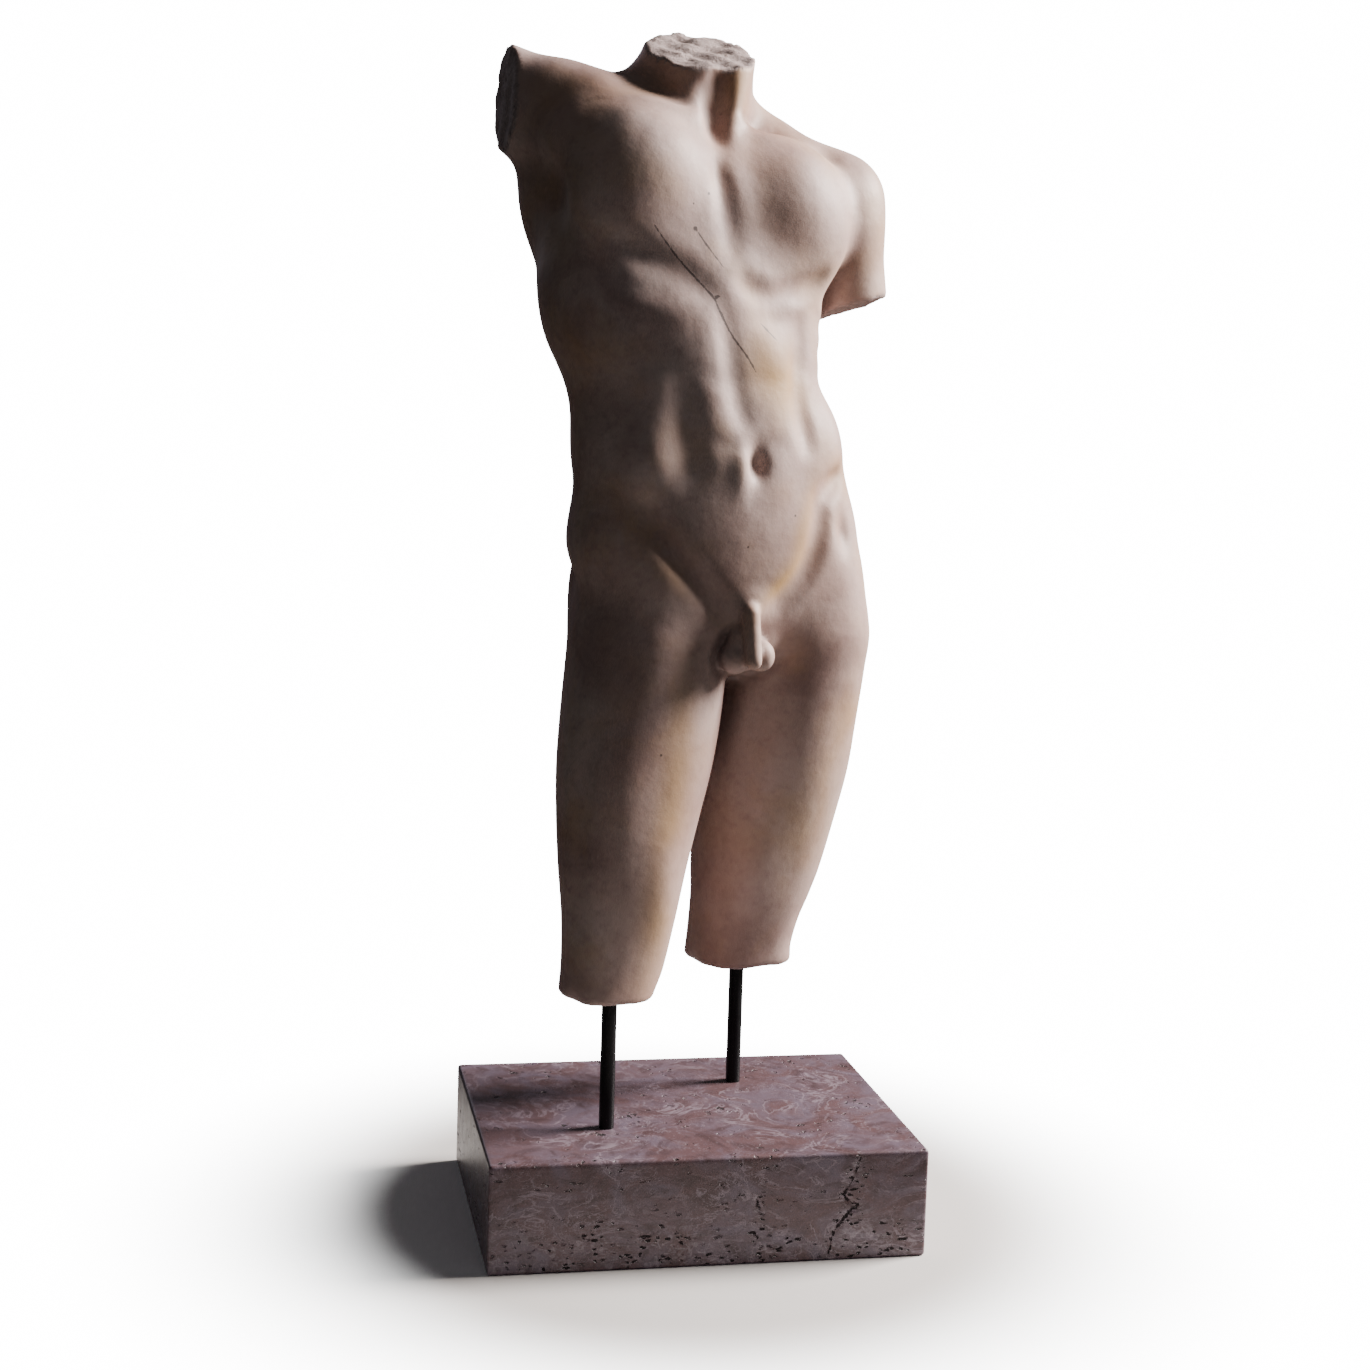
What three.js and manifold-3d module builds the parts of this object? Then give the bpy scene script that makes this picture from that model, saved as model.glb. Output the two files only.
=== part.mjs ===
// A marble torso of a standing nude youth, head, arms and lower legs broken away, carried by two upright
// black rods on a rectangular block of red travertine.
//
// Millimetres, +Z up, the block's front face towards -Y, +X to the right of someone facing that front. The
// origin is the centre of the block's underside. Left and right in names are the figure's own.

import * as THREE from "three";
import { mergeVertices } from "three/addons/utils/BufferGeometryUtils.js";
import Module from "manifold-3d";

// Driving dimensions.
const BASE_WIDTH = 400;
const BASE_DEPTH = 300;
const BASE_HEIGHT = 100;
const BASE_EDGE = 3; // rounding of the block's edges
const STANDOFF = 126; // clear height between the block and the cut ends of the legs
const FIGURE_HEIGHT = 878; // cut ends of the legs to the highest point of the broken neck

const ROD_DIAMETER = 14;
const ROD_TIP_CHAMFER = 1;
const ROD_IN_BASE = 60; // depth of the rod's socket in the block
const ROD_IN_LEG = 70; // depth of the rod's socket in the leg
const ROD_CLEARANCE = 0.3; // between a rod and its socket, all round and at the ends

const TORSO_TRIANGLES = 8700;
const ROUND_SEGMENTS = 32; // facets round a rod and its sockets
const CUT_OVERRUN = 20; // how far a socket's cutter runs out past the face it opens
const SHORTEST_EDGE = 0.02; // of the faceted pieces

// The figure is carved at the modelled size and scaled as one with FIGURE_HEIGHT: its numbers are 878ths of
// the figure's height, measured over the ground that the block stands on.
const CARVED_CUT = 226;
const CARVED_TOP = 1104;
const UNIT = FIGURE_HEIGHT / (CARVED_TOP - CARVED_CUT);
// The grid that the carved surface is read from: its step, and its corners clear of the figure.
const GRID_STEP = 7;
const GRID_LOW = [-213, -137, 205];
const GRID_HIGH = [213, 171, 1120];
const LEG_CUT = BASE_HEIGHT + STANDOFF;

// Where the rods stand under the legs, carved sizes.
const RODS = {
  right_leg_rod: [-82, -57],
  left_leg_rod: [65, 69],
};

const MARBLE = new THREE.MeshStandardMaterial({ color: "#9d8577", roughness: 0.55, metalness: 0 });
const TRAVERTINE = new THREE.MeshStandardMaterial({ color: "#8a5a4c", roughness: 0.4, metalness: 0 });
const BLACK_STEEL = new THREE.MeshStandardMaterial({ color: "#161414", roughness: 0.45, metalness: 0.6 });

// Places on the body.

// A part of the body with its own centre and turn, in degrees about X, then Y, then Z.
class Region {
  constructor(x, y, z, turnX = 0, turnY = 0, turnZ = 0) {
    const [a, b, c] = [turnX, turnY, turnZ].map(THREE.MathUtils.degToRad);
    this.matrix = new THREE.Matrix4()
      .makeRotationZ(c)
      .multiply(new THREE.Matrix4().makeRotationY(b))
      .multiply(new THREE.Matrix4().makeRotationX(a))
      .setPosition(x, y, z);
  }
  at(x, y, z) {
    return new THREE.Vector3(x, y, z).applyMatrix4(this.matrix);
  }
  path(...points) {
    return points.map((p) => this.at(...p));
  }
  // The same region turned further about one of its points.
  turned(point, turn) {
    const inner = new Region(...point, ...turn);
    const copy = new Region(0, 0, 0);
    copy.matrix.multiplyMatrices(this.matrix, inner.matrix);
    return copy;
  }
}

// The weight rests on the left leg, so the left hip is high and the right shoulder with it, and the body
// winds to its left on the way up.
const GROUND = new Region(0, 0, 0);
const PELVIS = new Region(17, 12, 600, 0, -4.5, 16);
const WAIST = new Region(2, 8, 740, 0, 0, 21);
const CHEST = new Region(-20, 14, 900, -3, 4, 20);

// Carving.

const EVERYWHERE = 1e5; // reach of a step that works on the whole figure

const softMin = (a, b, k) => {
  const h = Math.max(k - Math.abs(a - b), 0) / k;
  return Math.min(a, b) - (h * h * k) / 4;
};
const softMax = (a, b, k) => -softMin(-a, -b, k);
const ramp = (t) => {
  const s = THREE.MathUtils.clamp(t / 0.28, 0, 1);
  return s * s * (3 - 2 * s);
};

// A body of stone given by the distance to its surface, negative inside. Each step of the carving changes
// the distance near where it works and leaves it alone elsewhere.
class Stone {
  constructor() {
    this.steps = [];
  }

  step(box, margin, change) {
    const reach = box.clone().expandByScalar(margin);
    this.steps.push({ min: reach.min, max: reach.max, change });
    return this;
  }

  distance(x, y, z) {
    let d = 1000;
    for (const { min, max, change } of this.steps)
      if (x > min.x && x < max.x && y > min.y && y < max.y && z > min.z && z < max.z)
        d = change(d, x, y, z);
    return d;
  }

  // An ellipsoid melted into what is there, over a blend of the given width.
  mass(region, centre, radii, turn, blend) {
    const place = region.turned(centre, turn).matrix;
    const e = place.clone().invert().elements;
    const [a, b, c] = radii;
    const least = Math.min(a, b, c);
    const box = new THREE.Box3(new THREE.Vector3(-a, -b, -c), new THREE.Vector3(a, b, c)).applyMatrix4(place);
    return this.step(box, blend + 3, (d, x, y, z) => {
      const u = e[0] * x + e[4] * y + e[8] * z + e[12];
      const v = e[1] * x + e[5] * y + e[9] * z + e[13];
      const w = e[2] * x + e[6] * y + e[10] * z + e[14];
      const k0 = Math.hypot(u / a, v / b, w / c);
      const k1 = Math.hypot(u / (a * a), v / (b * b), w / (c * c)) + 1e-9;
      return softMin(d, k0 < 0.3 ? -least * (1 - k0) : (k0 * (k0 - 1)) / k1, blend);
    });
  }

  // A limb: a cone with round ends between two points.
  limb(from, to, r1, r2, blend) {
    const axis = to.clone().sub(from);
    const l2 = axis.lengthSq();
    const rr = r1 - r2;
    const a2 = l2 - rr * rr;
    const big = Math.max(r1, r2);
    const box = new THREE.Box3().setFromPoints([from, to]).expandByScalar(big);
    return this.step(box, blend + 3, (d, x, y, z) => {
      const px = x - from.x;
      const py = y - from.y;
      const pz = z - from.z;
      const along = px * axis.x + py * axis.y + pz * axis.z;
      const beyond = along - l2;
      const x2 =
        (px * l2 - axis.x * along) ** 2 + (py * l2 - axis.y * along) ** 2 + (pz * l2 - axis.z * along) ** 2;
      const y2 = along * along * l2;
      const z2 = beyond * beyond * l2;
      const k = Math.sign(rr) * rr * rr * x2;
      let e;
      if (Math.sign(beyond) * a2 * z2 > k) e = Math.sqrt(x2 + z2) / l2 - r2;
      else if (Math.sign(along) * a2 * y2 < k) e = Math.sqrt(x2 + y2) / l2 - r1;
      else e = (Math.sqrt((x2 * a2) / l2) + along * rr) / l2 - r1;
      return softMin(d, e, blend);
    });
  }

  // A column through level sections: height, centre x and y, turn, half width, reach forward and back, and
  // how square the section is. The sections pass smoothly into each other.
  column(sections, blend) {
    const first = sections[0][0];
    const last = sections[sections.length - 1][0];
    const slope = sections.map((s, i) => {
      const p = sections[Math.max(i - 1, 0)];
      const n = sections[Math.min(i + 1, sections.length - 1)];
      return s.map((_, j) => (n[j] - p[j]) / (n[0] - p[0]));
    });
    const spread = Math.max(...sections.flatMap((s) => s.slice(4, 7)));
    const box = new THREE.Box3();
    for (const [z, x, y] of sections) box.expandByPoint(new THREE.Vector3(x, y, z));
    box.min.sub(new THREE.Vector3(spread, spread, 0));
    box.max.add(new THREE.Vector3(spread, spread, 0));
    return this.step(box, blend + 3, (d, x, y, z) => {
      const level = THREE.MathUtils.clamp(z, first, last);
      let i = 0;
      while (i < sections.length - 2 && sections[i + 1][0] <= level) i++;
      const h = sections[i + 1][0] - sections[i][0];
      const t = (level - sections[i][0]) / h;
      const value = (j) =>
        (2 * t ** 3 - 3 * t * t + 1) * sections[i][j] +
        (t ** 3 - 2 * t * t + t) * h * slope[i][j] +
        (3 * t * t - 2 * t ** 3) * sections[i + 1][j] +
        (t ** 3 - t * t) * h * slope[i + 1][j];
      const turn = THREE.MathUtils.degToRad(value(3));
      const dx = x - value(1);
      const dy = y - value(2);
      const u = dx * Math.cos(turn) + dy * Math.sin(turn);
      const v = dy * Math.cos(turn) - dx * Math.sin(turn);
      const a = value(4);
      const b = v < 0 ? value(5) : value(6);
      const n = value(7);
      const U = Math.abs(u / a) + 1e-6;
      const V = Math.abs(v / b) + 1e-6;
      const rr = (U ** n + V ** n) ** (1 / n);
      const g = rr ** (1 - n) * Math.hypot(U ** (n - 1) / a, V ** (n - 1) / b);
      const e = softMax(Math.max((rr - 1) / g, -40), Math.max(first - z, z - last), 6);
      return softMin(d, e, blend);
    });
  }

  // A groove along a smooth path, or a ridge where the depth is negative; it fades out at both ends.
  groove(path, width, depth) {
    const curve = new THREE.CatmullRomCurve3(path, false, "catmullrom", 0.5);
    const points = curve.getPoints(8 * (path.length - 1));
    const run = [0];
    for (let i = 1; i < points.length; i++) run.push(run[i - 1] + points[i].distanceTo(points[i - 1]));
    const fade = run.map((s) => ramp(s / run[run.length - 1]) * ramp(1 - s / run[run.length - 1]));
    const box = new THREE.Box3().setFromPoints(points);
    const legs = points.slice(1).map((q, i) => ({
      p: points[i],
      ax: q.x - points[i].x,
      ay: q.y - points[i].y,
      az: q.z - points[i].z,
      f0: fade[i],
      f1: fade[i + 1],
    }));
    return this.step(box, 2.6 * width, (d, x, y, z) => {
      let best = Infinity;
      let share = 0;
      for (const { p, ax, ay, az, f0, f1 } of legs) {
        const [px, py, pz] = [x - p.x, y - p.y, z - p.z];
        const t = THREE.MathUtils.clamp((px * ax + py * ay + pz * az) / (ax * ax + ay * ay + az * az), 0, 1);
        const s2 = (px - t * ax) ** 2 + (py - t * ay) ** 2 + (pz - t * az) ** 2;
        if (s2 < best) {
          best = s2;
          share = f0 + (f1 - f0) * t;
        }
      }
      return d + depth * share * Math.exp(-best / (width * width));
    });
  }

  // A soft swelling, or a hollow where the height is negative.
  swell(region, centre, radii, height, turn = [0, 0, 0]) {
    const place = region.turned(centre, turn).matrix;
    const e = place.clone().invert().elements;
    const [a, b, c] = radii;
    const reach = new THREE.Vector3(a, b, c);
    const box = new THREE.Box3(reach.clone().negate(), reach).applyMatrix4(place);
    return this.step(box, 1.2 * Math.max(a, b, c), (d, x, y, z) => {
      const u = (e[0] * x + e[4] * y + e[8] * z + e[12]) / a;
      const v = (e[1] * x + e[5] * y + e[9] * z + e[13]) / b;
      const w = (e[2] * x + e[6] * y + e[10] * z + e[14]) / c;
      return d - height * Math.exp(-(u * u + v * v + w * w));
    });
  }

  // A break: the stone ends at a plane through a point, with its outward direction and a rough surface.
  breakOff(point, outward, blend, roughness, where = () => true) {
    const n = new THREE.Vector3(...outward).normalize();
    const [rx, ry, height] = roughness;
    const box = new THREE.Box3(new THREE.Vector3(), new THREE.Vector3());
    return this.step(box, EVERYWHERE, (d, x, y, z) => {
      if (!where(x, y, z)) return d;
      const rough = height * Math.sin(x * rx + y * 0.03 + 1) * Math.sin(y * ry + z * 0.04);
      return softMax(d, n.x * (x - point[0]) + n.y * (y - point[1]) + n.z * (z - point[2]) + rough, blend);
    });
  }

  // Another body of stone melted into this one.
  join(other, blend) {
    const box = new THREE.Box3();
    for (const s of other.steps)
      if (s.max.x < EVERYWHERE) box.union(new THREE.Box3(s.min, s.max));
    return this.step(box, 0, (d, x, y, z) => softMin(d, other.distance(x, y, z), blend));
  }
}

// The figure.

const v3 = (x, y, z) => new THREE.Vector3(x, y, z);
const SIDES = [1, -1]; // the figure's left, then its right

function carveTrunk(stone) {
  stone.column(
    [
      [516, 26, 22, 16, 64, 38, 50, 2.1],
      [548, 25, 15, 16, 116, 68, 84, 2.2],
      [593, 24, 13, 16, 132, 83, 94, 2.4],
      [640, 20, 11, 17, 133, 82, 92, 2.4],
      [686, 14, 9, 19, 131, 82, 82, 2.4],
      [732, 7, 8, 21, 122, 84, 74, 2.4],
      [777, -8, 8, 21, 121, 86, 72, 2.35],
      [822, -20, 10, 20, 132, 90, 80, 2.3],
      [867, -22, 12, 20, 137, 88, 88, 2.3],
      [912, -20, 14, 20, 132, 82, 92, 2.3],
      [950, -19, 16, 20, 124, 80, 90, 2.3],
      [985, -19, 18, 20, 110, 68, 78, 2.2],
      [1012, -17, 20, 20, 74, 52, 58, 2.1],
    ],
    10,
  );
}

function carveThighs(stone) {
  // The right leg is free and comes forward, the left one carries the weight.
  stone.column(
    [
      [190, -92, -60, 14, 39, 42, 41, 2.5],
      [226, -86.5, -56, 14, 41, 43, 42, 2.5],
      [252, -80, -51, 14, 46, 47, 46, 2.2],
      [297, -74.5, -44, 14, 50.5, 54, 52, 2.25],
      [342, -71, -37, 14, 57, 60, 57, 2.3],
      [388, -66, -30, 14, 64, 65, 61, 2.3],
      [433, -60, -23, 14, 70, 69, 65, 2.3],
      [479, -54, -16, 15, 72, 72, 70, 2.3],
      [524, -49, -9, 16, 71, 76, 76, 2.3],
      [570, -44, -2, 16, 69, 76, 82, 2.25],
      [620, -36, 4, 16, 58, 64, 76, 2.2],
      [664, -26, 8, 16, 34, 40, 50, 2.1],
    ],
    14,
  );
  stone.column(
    [
      [190, 58, 74, 16, 42, 42, 43, 3.2],
      [226, 64, 68, 16, 47, 46, 45, 3.2],
      [244, 65, 66, 16, 48, 48, 47, 2.7],
      [269, 68.5, 64, 16, 52, 52, 50, 2.3],
      [295, 73.5, 61, 16, 57.5, 56, 54, 2.15],
      [320, 77, 59, 16, 62, 59, 57, 2.2],
      [371, 83, 54, 16, 68, 64, 62, 2.2],
      [421, 89, 49, 16, 72, 68, 66, 2.2],
      [470, 92.5, 44, 16, 72.5, 72, 70, 2.2],
      [519, 97, 39, 16, 71, 76, 76, 2.2],
      [560, 99.5, 36, 16, 70, 78, 82, 2.2],
      [620, 95, 32, 16, 60, 62, 76, 2.2],
      [664, 86, 28, 16, 36, 40, 50, 2.1],
    ],
    14,
  );
}

function carveArms(stone) {
  // The left arm hangs and is broken off above the elbow.
  const leftShoulder = v3(132, 60, 956);
  const leftEnd = v3(157, 72, 826);
  const left = new Stone();
  left.limb(CHEST.at(92, 12, 84), leftShoulder, 51, 44, 26);
  left.limb(CHEST.at(100, -24, 62), leftShoulder.clone().add(v3(2, -10, -34)), 36, 32, 26);
  left.limb(leftShoulder, leftEnd, 43, 38, 20);
  left.mass(CHEST, [149, 0, 48], [36, 40, 54], [0, 16, 0], 20);
  left.breakOff([158, 70, 860], [0.3, -0.1, -0.95], 5, [0.13, 0.15, 0.8], (x) => x > 60);
  stone.join(left, 12);
  // The right arm was raised and is broken off at the lower end of the shoulder muscle.
  const rightShoulder = v3(-108, 24, 1002);
  const right = new Stone();
  right.limb(CHEST.at(-76, 10, 76), rightShoulder, 50, 51, 30);
  right.limb(rightShoulder, v3(-215, 40, 1048), 51, 42, 22);
  right.mass(GROUND, [-140, 12, 1018], [48, 45, 46], [0, -24, 0], 16);
  right.breakOff([-185, 30, 1030], [-0.99, -0.09, 0.06], 4, [0.05, 0.14, 1]);
  stone.join(right, 20);
}

function carveNeck(stone) {
  const top = v3(-9, 6, 1120);
  const neck = new Stone();
  neck.limb(v3(-13, 24, 1000), top, 51, 49, 20);
  neck.limb(v3(-4, 38, 1050), CHEST.at(112, 20, 104), 28, 25, 26);
  neck.limb(v3(-20, 42, 1057), CHEST.at(-92, 26, 112), 28, 25, 30);
  for (const s of SIDES)
    neck.limb(CHEST.at(s * 14 - 9, -50, 98), top.clone().add(v3(s * 38, 4, 0)), 6, 15, 12);
  neck.groove(CHEST.path([-5, -48, 170], [-7, -52, 140], [-10, -58, 106]), 13, 8.5);
  neck.breakOff([-11, 0, 1076.5], [0.03, -0.43, 0.905], 3, [0.16, 0.13, 1.6]);
  stone.join(neck, 16);
  for (const s of SIDES) stone.limb(v3(-16, 48, 1006), CHEST.at(s * 78, 46, 62), 42, 40, 26);
}

function carveChest(stone) {
  for (const s of SIDES) {
    const raised = s > 0 ? 0 : 8;
    const trim = s > 0 ? 0 : 1;
    stone.mass(CHEST, [s * 62, -34, 30 + raised], [82, 50, 80], [4, s * 4, s * -15], 16);
    stone.limb(CHEST.at(s * 72, -44, 52 + raised), CHEST.at(s * 120, -12, 68 + 2 * raised), 40, 32, 28);
    // The broad back muscle from the armpit down the flank, and the shoulder blade.
    const armpit = CHEST.at(s * 112 + 18 * trim, 26, 40 + raised);
    stone.limb(armpit, WAIST.at(s * 88 + 5 * trim, 22, 20 + 28 * trim), 37 - 2 * trim, 31 + 5 * trim, 26);
    stone.mass(CHEST, [s * 68, 54, 36 + raised], [66, 34, 72], [0, 0, s * 14], 34);
  }
  // Collar bones, the full shoulder above the right one and the hollow above the left one.
  for (const [s, end] of [[1, 98], [-1, 122]])
    stone.groove(
      CHEST.path(
        [s * 12, -58, 104],
        [s * 45, -58, 108 + 0.12 * (end - 98)],
        [s * 85, -38, 104 + 0.6 * (end - 98)],
        [s * 122, -10, end],
      ),
      10,
      -2.8,
    );
  stone.limb(CHEST.at(-24, -22, 100), CHEST.at(-96, -4, 112), 25, 26, 30);
  stone.swell(CHEST, [56, -34, 120], [26, 16, 12], -3.5);
  // The pit of the throat and the groove over the breastbone.
  stone.swell(CHEST, [-10, -61, 107], [11, 16, 18], -15);
  stone.groove(CHEST.path([-16, -60, 84], [-12, -74, 58], [-6, -84, 28], [0, -89, 2], [4, -92, -22]), 11, 6);
  // Lower borders of the chest plates.
  stone.groove(
    CHEST.path([-124, -62, 10], [-88, -72, -18], [-46, -84, -32], [-18, -91, -46], [0, -94, -52]),
    13,
    5,
  );
  stone.groove(
    CHEST.path([2, -90, -16], [19, -91, -34], [44, -88, -40], [66, -84, -34], [98, -76, -22], [114, -66, -2]),
    10,
    11.5,
  );
  stone.swell(CHEST, [62, -86, -58], [36, 18, 14], -6);
  stone.swell(CHEST, [-70, -78, -46], [40, 18, 14], -2.5);
  stone.swell(CHEST, [-102, -67, 2], [6, 6, 6], 2.6);
  stone.swell(CHEST, [116, -55, -5], [6, 6, 6], 2.6);
  // In front of the shoulders, the hanging one and the raised one.
  stone.swell(CHEST, [124, -40, 98], [16, 14, 20], -4.5);
  stone.groove(CHEST.path([-104, -46, 104], [-116, -54, 84], [-120, -56, 64], [-128, -50, 44]), 13, 2.2);
}

function carveBelly(stone) {
  stone.groove(
    [
      ...CHEST.path([-2, -94, -40], [-8, -94, -56]),
      ...WAIST.path([-28, -89, 84], [-22, -89, 48], [-12, -90, 12], [-4, -90, -8]),
    ],
    10,
    6.5,
  );
  // Outer edges of the straight muscle of the belly.
  stone.groove(WAIST.path([-92, -60, 110], [-96, -60, 84], [-94, -66, 40]), 22, 3);
  stone.groove(WAIST.path([-74, -72, 66], [-69, -76, 27], [-63, -79, -16], [-54, -82, -58]), 16, 3.8);
  stone.groove(
    WAIST.path([54, -72, 120], [60, -72, 84], [56, -80, 34], [62, -82, -6], [66, -80, -30]),
    11,
    8,
  );
  for (const s of SIDES) {
    stone.swell(WAIST, [s * 33 - 12, -88, 74], [24, 18, 34], 2);
    stone.swell(WAIST, [s * 33 - 8, -88, 14], [24, 18, 30], 2);
    stone.swell(WAIST, [s * 30 - 2, -86, -34], [22, 16, 26], 2.5);
  }
  for (const level of [46, -10])
    stone.groove(
      WAIST.path(
        [-68, -78, level + 6],
        [-36, -90, level],
        [-12, -90, level - 2],
        [20, -88, level],
        [46, -80, level + 6],
      ),
      10,
      1.8,
    );
  // Pads of the side muscles over the hip bones.
  stone.swell(WAIST, [-98, -60, -26], [22, 28, 30], 9);
  stone.swell(WAIST, [92, -50, -6], [26, 34, 38], 7);
  stone.mass(WAIST, [-88, 0, -14], [38, 56, 54], [0, -6, 0], 24);
  stone.mass(WAIST, [-88, 6, -98], [36, 54, 50], [0, 0, 0], 24);
  stone.mass(WAIST, [94, 0, -16], [42, 56, 58], [0, 8, 0], 24);
  // Lower belly and navel, with the fold beside it.
  stone.mass(PELVIS, [-2, -56, 52], [66, 31, 66], [0, 0, 0], 18);
  stone.swell(WAIST, [4, -92, -27], [7.5, 14, 11], -16);
  stone.swell(WAIST, [-14, -90, -30], [11, 14, 25], 5);
  // Arch of the ribs, and the slips of muscle over them.
  for (const s of SIDES) {
    stone.groove(
      WAIST.path(
        [s * 14 - 14, -84, 118],
        [s * 46 - 14, -80, 92],
        [s * 72 - 14, -64, 62],
        [s * 98 - 14, -34, 46],
      ),
      14,
      s > 0 ? 1.6 : 0.8,
    );
    for (let i = 0; i < 4; i++) {
      const slip = [s * (104 - 3 * i) - 7, -40 + 6 * i, 112 - 24 * i];
      stone.swell(WAIST, slip, [13, 20, 9], s > 0 ? 2.2 : 1.2, [0, s * 28, 0]);
    }
  }
}

function carvePelvis(stone) {
  for (const s of SIDES) stone.mass(PELVIS, [s * 56 + 2, 52, -8], [66, 64, 80], [0, 0, 0], 22);
  stone.mass(PELVIS, [91, 4, 24], [48, 62, 78], [0, 0, 0], 26);
  stone.mass(PELVIS, [-72, 8, -4], [40, 58, 76], [0, 0, 0], 24);
  stone.mass(PELVIS, [-4, -68, -17], [26, 20, 20], [0, 0, 0], 14);
  // Grooves of the groin.
  stone.groove(
    PELVIS.path(
      [-112, -48, 92],
      [-100, -66, 82],
      [-90, -73, 60],
      [-71, -80, 31],
      [-55, -84, 12],
      [-38, -86, -12],
      [-27, -86, -34],
      [-25, -74, -58],
    ),
    10,
    12,
  );
  stone.groove(
    PELVIS.path(
      [120, -22, 104],
      [102, -54, 94],
      [80, -76, 76],
      [73, -80, 48],
      [54, -84, 13],
      [31, -88, -10],
      [9, -90, -30],
      [2, -78, -56],
    ),
    10,
    12,
  );
  // Front of the thighs under the groin, the hollow at the left hip and the fullness of the right hip.
  stone.swell(PELVIS, [-92, -62, 18], [26, 22, 44], 7, [0, 26, 0]);
  stone.swell(PELVIS, [92, -58, 12], [24, 22, 40], 6, [0, -22, 0]);
  stone.swell(PELVIS, [102, -62, 40], [10, 14, 18], -6);
  stone.swell(GROUND, [-108, 6, 634], [14, 40, 14], 3);
  // Behind: the cleft, the folds under the buttocks, the side hollows and the dimples above.
  stone.groove(PELVIS.path([0, 112, 60], [0, 112, 10], [0, 108, -40], [0, 90, -70]), 14, 13);
  for (const s of SIDES) {
    stone.groove(PELVIS.path([s * 8, 100, -76], [s * 50, 112, -84], [s * 96, 84, -70]), 12, 6);
    stone.swell(PELVIS, [s * 112, 50, 10], [22, 26, 30], -6);
    stone.swell(PELVIS, [s * 34, 104, 74], [14, 14, 14], -5);
  }
  stone.mass(PELVIS, [0, -50, -52], [28, 25, 26], [0, 0, 0], 14);
  const sex = new Stone();
  sex.limb(PELVIS.at(-9, -88, -20), PELVIS.at(-13, -98, -62), 8.6, 7.6, 4);
  sex.mass(PELVIS, [-20, -75, -60], [15.5, 15, 15.5], [0, 8, 0], 8);
  sex.mass(PELVIS, [3, -81, -60], [13, 14, 15], [0, -6, 0], 6);
  sex.mass(PELVIS, [-12, -76, -44], [15, 13, 16], [0, 0, 0], 6);
  stone.join(sex, 5);
}

function carveBack(stone) {
  stone.groove(
    [
      ...CHEST.path([0, 92, 90], [0, 104, 40], [0, 104, -20]),
      ...WAIST.path([0, 90, 60], [0, 80, 10], [0, 84, -40]),
      PELVIS.at(0, 100, 60),
    ],
    14,
    9,
  );
  for (const s of SIDES) {
    stone.swell(WAIST, [s * 28, 76, 20], [18, 20, 60], 5);
    stone.groove(
      CHEST.path([s * 34, 100, 80], [s * 38, 104, 30], [s * 62, 96, -14], [s * 100, 70, -20]),
      11,
      4,
    );
  }
}

function carveLegMuscles(stone) {
  // Chips at the rims of the cut ends.
  stone.swell(GROUND, [-122, -80, 224], [14, 12, 9], -7);
  stone.swell(GROUND, [16, 56, 224], [7, 12, 8], -6);
  // Long muscles, and the swellings above the knees.
  stone.groove(GROUND.path([-104, -84, 520], [-114, -74, 430], [-118, -78, 330], [-112, -84, 262]), 14, 3);
  stone.swell(GROUND, [-40, -96, 330], [26, 24, 52], 5);
  stone.swell(GROUND, [-92, -96, 400], [26, 26, 90], 4);
  stone.swell(GROUND, [60, -14, 330], [24, 24, 60], 4);
  stone.swell(GROUND, [112, -20, 420], [30, 30, 100], 4);
  stone.groove(GROUND.path([60, -42, 520], [52, -20, 440], [46, 0, 350]), 14, 3.5);
  stone.swell(GROUND, [-20, 48, 440], [26, 30, 80], 4);
  stone.groove(GROUND.path([-50, 36, 480], [-56, 26, 380], [-66, 10, 280]), 13, 3);
  stone.groove(GROUND.path([96, 112, 480], [88, 112, 380], [76, 112, 280]), 13, 3);
}

function carveFigure() {
  const stone = new Stone();
  carveTrunk(stone);
  carveThighs(stone);
  carveArms(stone);
  carveNeck(stone);
  carveChest(stone);
  carveBelly(stone);
  carvePelvis(stone);
  carveBack(stone);
  carveLegMuscles(stone);
  stone.breakOff([0, 0, CARVED_CUT], [0, 0, -1], 4, [0.11, 0.09, 0.8]);
  return stone;
}

// From the stone to faces.

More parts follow.
